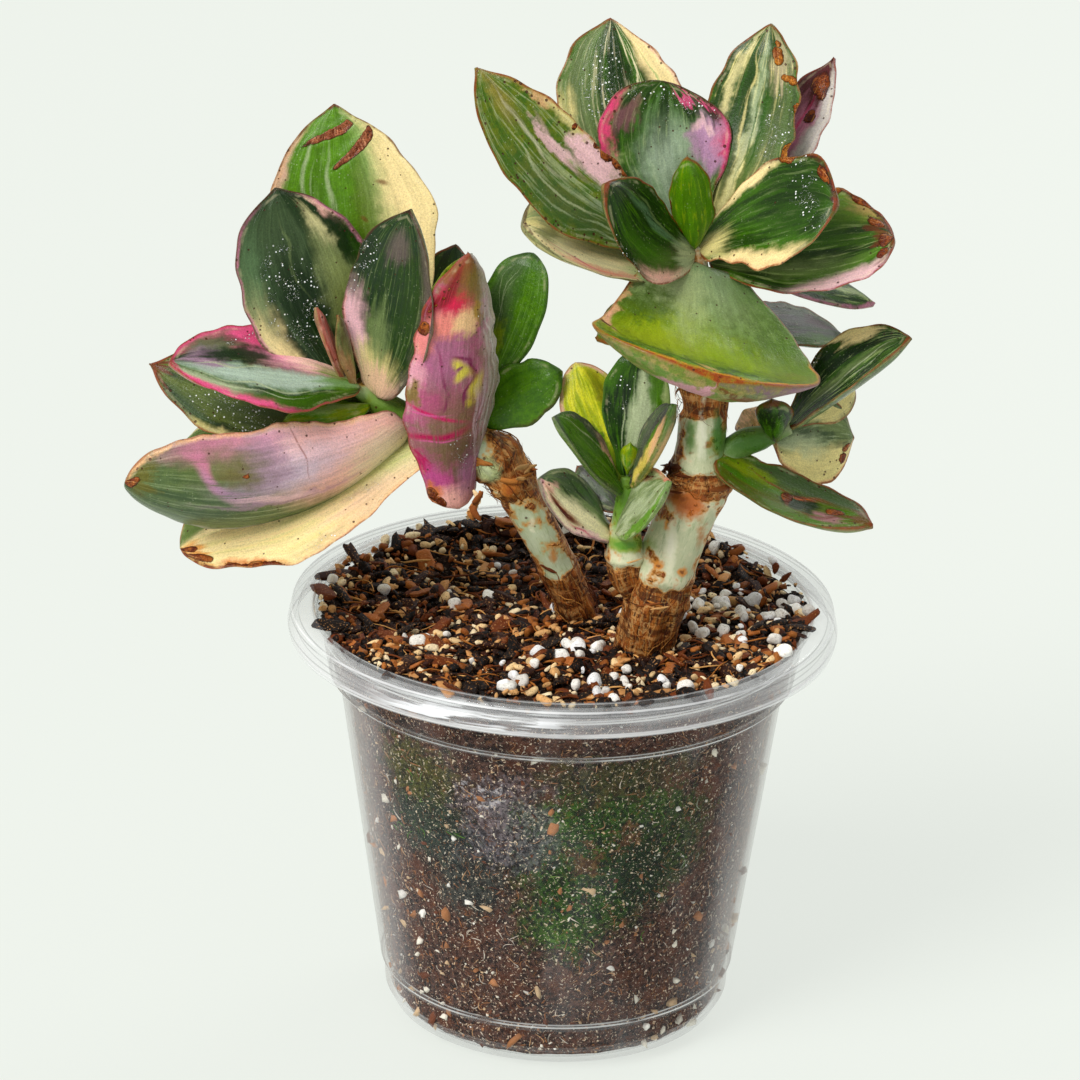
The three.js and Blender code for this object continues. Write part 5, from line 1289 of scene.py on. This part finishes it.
dice = np.random.default_rng(500)
paths, radii = [], []
for _ in range(topFibres["count"]):
    start = onTop(dice, 1, 0.9, topFibres["reach"])[0]
    heading, curl = dice.uniform(0, 2 * math.pi), dice.uniform(-topFibres["curl"], topFibres["curl"])
    t = np.linspace(0, 1, topFibres["steps"])
    turn = heading + curl * t * 3
    reach = dice.uniform(*topFibres["length"])
    path = start + np.stack([np.cos(turn), np.sin(turn), 0.12 * np.sin(t * 5)], -1) * t[:, None] * reach
    far = np.maximum(np.hypot(path[:, 0], path[:, 1]) / 45.5, 1)[:, None]
    path[:, :2] = path[:, :2] / far
    path[:, 2] = np.maximum(path[:, 2], mixHeight(path[:, 0], path[:, 1]) + 0.5)
    paths.append(path)
    radii.append(dice.uniform(*topFibres["radius"]))
barkPieces("mix_fibres", paths, radii, (topFibres["tones"], topFibres["weights"]), topFibres["sides"], 1.0,
           dice)

paths, radii = [], []
count = wallFibres["count"]
turn0, z0 = dice.uniform(-math.pi, math.pi, count), dice.uniform(*wallFibres["height"], count)
moss = np.zeros(count)
for across, tall, breadth, reach, _, strength in mossRows[:4]:
    near = np.exp(-((turn0 * wallTurn - across) / breadth) ** 4 - ((z0 - tall) / reach) ** 4)
    moss = np.maximum(moss, strength * near)
t = np.linspace(-1, 1, wallFibres["steps"])
for k in range(count):
    size, lean = dice.uniform(*wallFibres["length"]), dice.uniform(0, math.pi)
    curl = dice.uniform(-wallFibres["curl"], wallFibres["curl"], 2)
    z = np.clip(z0[k] + size * t * math.sin(lean) + curl[0] * t ** 2, 1.8, 77)
    turn = turn0[k] + (size * t * math.cos(lean) + curl[1] * t ** 2) / wallTurn
    paths.append(onWall(turn, z, wallFibres["depth"]))
    radii.append(dice.uniform(*wallFibres["radius"]))
isMoss = dice.uniform(0, 1, count) < moss
shades = shadesFrom(dice, wallFibres["tones"], wallFibres["weights"], count)
shades[isMoss] = shadesFrom(dice, wallFibres["mossTones"], wallFibres["mossWeights"], isMoss.sum(), 0.3)
points, faces = growThreads(paths, radii, wallFibres["sides"])
makeObject("wall_fibres", points, faces, paintShade("wall_fibre", 0.6, 3.0, 0.05, 0.25),
           dict(shade=np.repeat(shades, wallFibres["steps"] * wallFibres["sides"], 0)))

count = wallGrains["count"]
turn = dice.uniform(-math.pi, math.pi, count)
z = wallGrains["low"] + wallGrains["tall"] * dice.uniform(0, 1, count) ** 1.35  # more of them low down
places = onWall(turn, z, wallGrains["depth"])
sizes = wallGrains["size"] * dice.uniform(0.09, 1, (count, 1)) ** -0.9 * dice.uniform(0.5, 1.5, (count, 3))
outward = np.stack([np.sin(turn), -np.cos(turn), np.zeros(count)], -1)
shades = shadesFrom(dice, wallGrains["tones"], wallGrains["weights"], count)
shapes = [ballShape(1, 110 + k, 0.45) for k in range(6)]
scatter("wall_grains", shapes, places - outward * 0.25 * sizes, sizes, turnsFrom(dice, count, 1.5), shades,
        paintShade("wall_grain", 0.6, 2.0, 0.2, 0.25))
print("wall texture laid")


# Clear pot: one thin shell, turned round Z, with drain holes in its floor
def roundCorners(profile, radius, steps=4):
    profile = np.array(profile, float)
    made = [profile[0]]
    for before, corner, after in zip(profile, profile[1:], profile[2:]):
        a, b = before - corner, after - corner
        cut = min(radius, np.linalg.norm(a) * 0.45, np.linalg.norm(b) * 0.45)
        a, b = corner + unit(a) * cut, corner + unit(b) * cut
        made += [(1 - t) ** 2 * a + 2 * t * (1 - t) * corner + t * t * b for t in np.linspace(0, 1, steps)]
    return np.array(made + [profile[-1]])


potBands = (  # from, to, opacity, brightness: the rolled edges catch the light and shade what is below
    (76.4, 84, 0.17, 0.78), (77.9, 78.5, 0.5, 0.95), (77.2, 77.7, 0.4, 0.12), (82.5, 83.1, 0.5, 0.97),
    (79.6, 80.0, 0.2, 0.25), (81.7, 82.1, 0.2, 0.15), (69.5, 70.3, 0.55, 0.9), (68.9, 69.4, 0.3, 0.15),
    (9.6, 10.4, 0.55, 0.9), (8.9, 9.5, 0.3, 0.15), (4.2, 5.0, 0.1, 0.7),
)


def paintPot():
    material, tree = newMaterial("clear_plastic_skin")
    place = placeInMm(tree)
    x, y, z = parts(tree, place)
    haze = grain(tree, stretched(tree, place, 1, 1, 0.35), 0.09, 4, 0.65)
    facing = add(tree, "LayerWeight", {"Blend": 0.5}, out=1)
    side = times(tree, fade(tree, z, 78, 76), fade(tree, z, 2, 6))
    alpha = timesPlus(tree, calc(tree, "POWER", facing, 4), timesPlus(tree, side, -0.3, 0.5), 0.012)
    alpha = calc(tree, "ADD", alpha, times(tree, fade(tree, haze, 0.45, 0.75), 0.04))
    murk = times(tree, side, fade(tree, facing, 0.5, 0.9))
    alpha = timesPlus(tree, murk, 0.42, alpha)
    colour = tint(tree, fade(tree, haze, 0.4, 0.7), (0.5, 0.51, 0.55, 1), (0.75, 0.77, 0.8, 1))
    colour = tint(tree, murk, colour, tone("8c7a74"))
    turn = calc(tree, "ARCTAN2", x, times(tree, y, -1))
    streak = grain(tree, combine(tree, times(tree, turn, 2.2), times(tree, z, 0.45)), 1.6, 2, 0.5)
    for low, high, extra, shade in potBands:
        band = fade(tree, apart(tree, z, (low + high) / 2), (high - low) / 2, (high - low) / 5)
        band = times(tree, band, fade(tree, streak, 0.2, 0.5))
        alpha = timesPlus(tree, band, extra, alpha)
        colour = tint(tree, band, colour, (shade, shade, shade * 1.02, 1))
    shine = times(tree, fade(tree, z, 78.6, 79), fade(tree, z, 81.4, 81))
    shine = times(tree, fade(tree, streak, 0.5, 0.56), shine)
    shine = times(tree, shine, fade(tree, apart(tree, turn, -0.35), 0.5, 0.2))
    alpha = timesPlus(tree, shine, 0.65, alpha)
    colour = tint(tree, shine, colour, (0.95, 0.97, 1, 1))
    scratch = grain(tree, place, 2.2, 2, 0.7)
    alpha = timesPlus(tree, fade(tree, scratch, 0.66, 0.72), 0.06, alpha, clamp=True)
    finishShader(tree, colour, timesPlus(tree, haze, 0.12, 0.05), haze, 0.4, 0.3, Alpha=alpha,
                 Specular_IOR_Level=0.9, Coat_Weight=0.6, Coat_Roughness=0.06)
    return material


inside = sideInset(potShape["wall"])[::-1]
wallLine = roundCorners([*potShape["side"], *potShape["rim"], *inside], potShape["round"])
floorLine = evenly([(inside[-1, 0] - 1, potShape["wall"]), (2, potShape["wall"])], 2)
profile = [(0.3, 0), *evenly([(2, 0), (26, 0)], 2), *wallLine, *floorLine, (0.3, potShape["wall"])]
shell = revolve(np.array(profile, float), potShape["sides"])
warp = 0.16 * waves(shell / 18, 1, 51)[..., None] * (shell[..., 2:] > 2) * np.array([1, 1, 0])
shell = shell + unit(shell * [1, 1, 0] + 1e-9) * warp
shellPoints = np.concatenate([shell.reshape(-1, 3), [[0, 0, 0], [0, 0, potShape["wall"]]]])
pot = makeObject("clear_pot", shellPoints, ringFaces(*shell.shape[:2]), paintPot(),
                 replaces=["pot"])
drill = bmesh.new()
drainRadius, drainRing = potShape["drainRadius"] * mm, potShape["drainRing"] * mm
for k in range(potShape["drainCount"]):
    turn = 2 * math.pi * (k + 0.5) / potShape["drainCount"]
    hole = bmesh.ops.create_cone(drill, segments=24, radius1=drainRadius, radius2=drainRadius,
                                 depth=6 * mm, cap_ends=True)
    bmesh.ops.translate(drill, verts=hole["verts"],
                        vec=Vector((math.cos(turn), math.sin(turn), 0)) * drainRing)
drillMesh = bpy.data.meshes.new("drill")
drill.to_mesh(drillMesh)
drill.free()
drillObject = bpy.data.objects.new("drill", drillMesh)
bpy.context.scene.collection.objects.link(drillObject)
cut = pot.modifiers.new("drain", "BOOLEAN")
cut.object, cut.operation, cut.solver = drillObject, "DIFFERENCE", "EXACT"
bpy.context.view_layer.update()
cutMesh = bpy.data.meshes.new_from_object(pot.evaluated_get(bpy.context.evaluated_depsgraph_get()))
pot.modifiers.clear()
pot.data = cutMesh
cutMesh.polygons.foreach_set("use_smooth", np.full(len(cutMesh.polygons), True))
bpy.data.objects.remove(drillObject)
print("pot turned")

# Camera, lights and floor
cameraSettings = dict(target=(-4.9, 0, 95.9), distance=1042, elevation=21.85, roll=1.32, lens=183.3)
studio = dict(light=0.46, paper=((0.872, 0.915, 0.856, 1), (0.886, 0.929, 0.870, 1)), paperShare=0.2,
              glow=0.76, reach=6, drop=0.2)  # the floor lies a little below the pot
lightRows = (
    dict(name="key", kind="AREA", place=(-0.6, -0.8, 0.9), size=0.35, power=3.2, tint=(1, 0.98, 0.95)),
    dict(name="back", kind="AREA", place=(0.5, 0.6, 0.7), size=0.4, power=2, tint=(1, 1, 1)),
    dict(name="sun", kind="SUN", place=(-0.55, -0.6, 0.95), size=0.5, power=1.95, tint=(1, 0.99, 0.97)),
)
target = Vector(cameraSettings["target"]) * mm
lift = math.radians(cameraSettings["elevation"])
back = Vector((0, -math.cos(lift), math.sin(lift)))
cameraData = bpy.data.cameras.new("camera")
cameraData.lens, cameraData.sensor_width = cameraSettings["lens"], 36
cameraData.clip_start, cameraData.clip_end = 0.05, 30
camera = bpy.data.objects.new("camera", cameraData)
camera.rotation_mode = "QUATERNION"
camera.location = target + back * cameraSettings["distance"] * mm
camera.rotation_quaternion = ((-back).to_track_quat("-Z", "Y")
                              @ Quaternion((0, 0, 1), math.radians(cameraSettings["roll"])))
bpy.context.scene.collection.objects.link(camera)
bpy.context.scene.camera = camera

for row in lightRows:
    lamp = bpy.data.lights.new(row["name"], row["kind"])
    lamp.energy, lamp.color = row["power"], row["tint"]
    if row["kind"] == "SUN":
        lamp.angle = row["size"]
    else:
        lamp.size = row["size"]
    holder = bpy.data.objects.new(row["name"], lamp)
    holder.location = Vector(row["place"])
    holder.rotation_mode = "QUATERNION"
    holder.rotation_quaternion = (Vector((0, 0, 0.1)) - holder.location).to_track_quat("-Z", "Y")
    bpy.context.scene.collection.objects.link(holder)

world = bpy.data.worlds.new("studio")
world.use_nodes = True
sky = world.node_tree.nodes["Background"]
sky.inputs["Color"].default_value = (1, 1, 1, 1)
sky.inputs["Strength"].default_value = studio["light"]
bpy.context.scene.world = world
bpy.context.scene.view_settings.view_transform = "Standard"

floorMaterial, tree = newMaterial("studio_floor")
cloud = grain(tree, add(tree, "TexCoord", out=3), 1.5, 2)
paper = tint(tree, cloud, *studio["paper"])
finishShader(tree, scaled(tree, paper, studio["paperShare"]), 0.95, None, 0, Specular_IOR_Level=0.0,
             Emission_Color=paper, Emission_Strength=studio["glow"])
floorMesh = bpy.data.meshes.new("floor")
corners = [(x * studio["reach"], y * studio["reach"], -studio["drop"] * mm)
           for x, y in ((-1, -1), (1, -1), (1, 1), (-1, 1))]
floorMesh.from_pydata(corners, [], [(0, 1, 2, 3)])
floorMesh.materials.append(floorMaterial)
floor = bpy.data.objects.new("floor", floorMesh)
bpy.context.scene.collection.objects.link(floor)
print("camera and lights set")

meshes = [piece.data for piece in bpy.data.objects if piece.type == "MESH"]
print("triangles:", sum(len(mesh.loops) - 2 * len(mesh.polygons) for mesh in meshes))
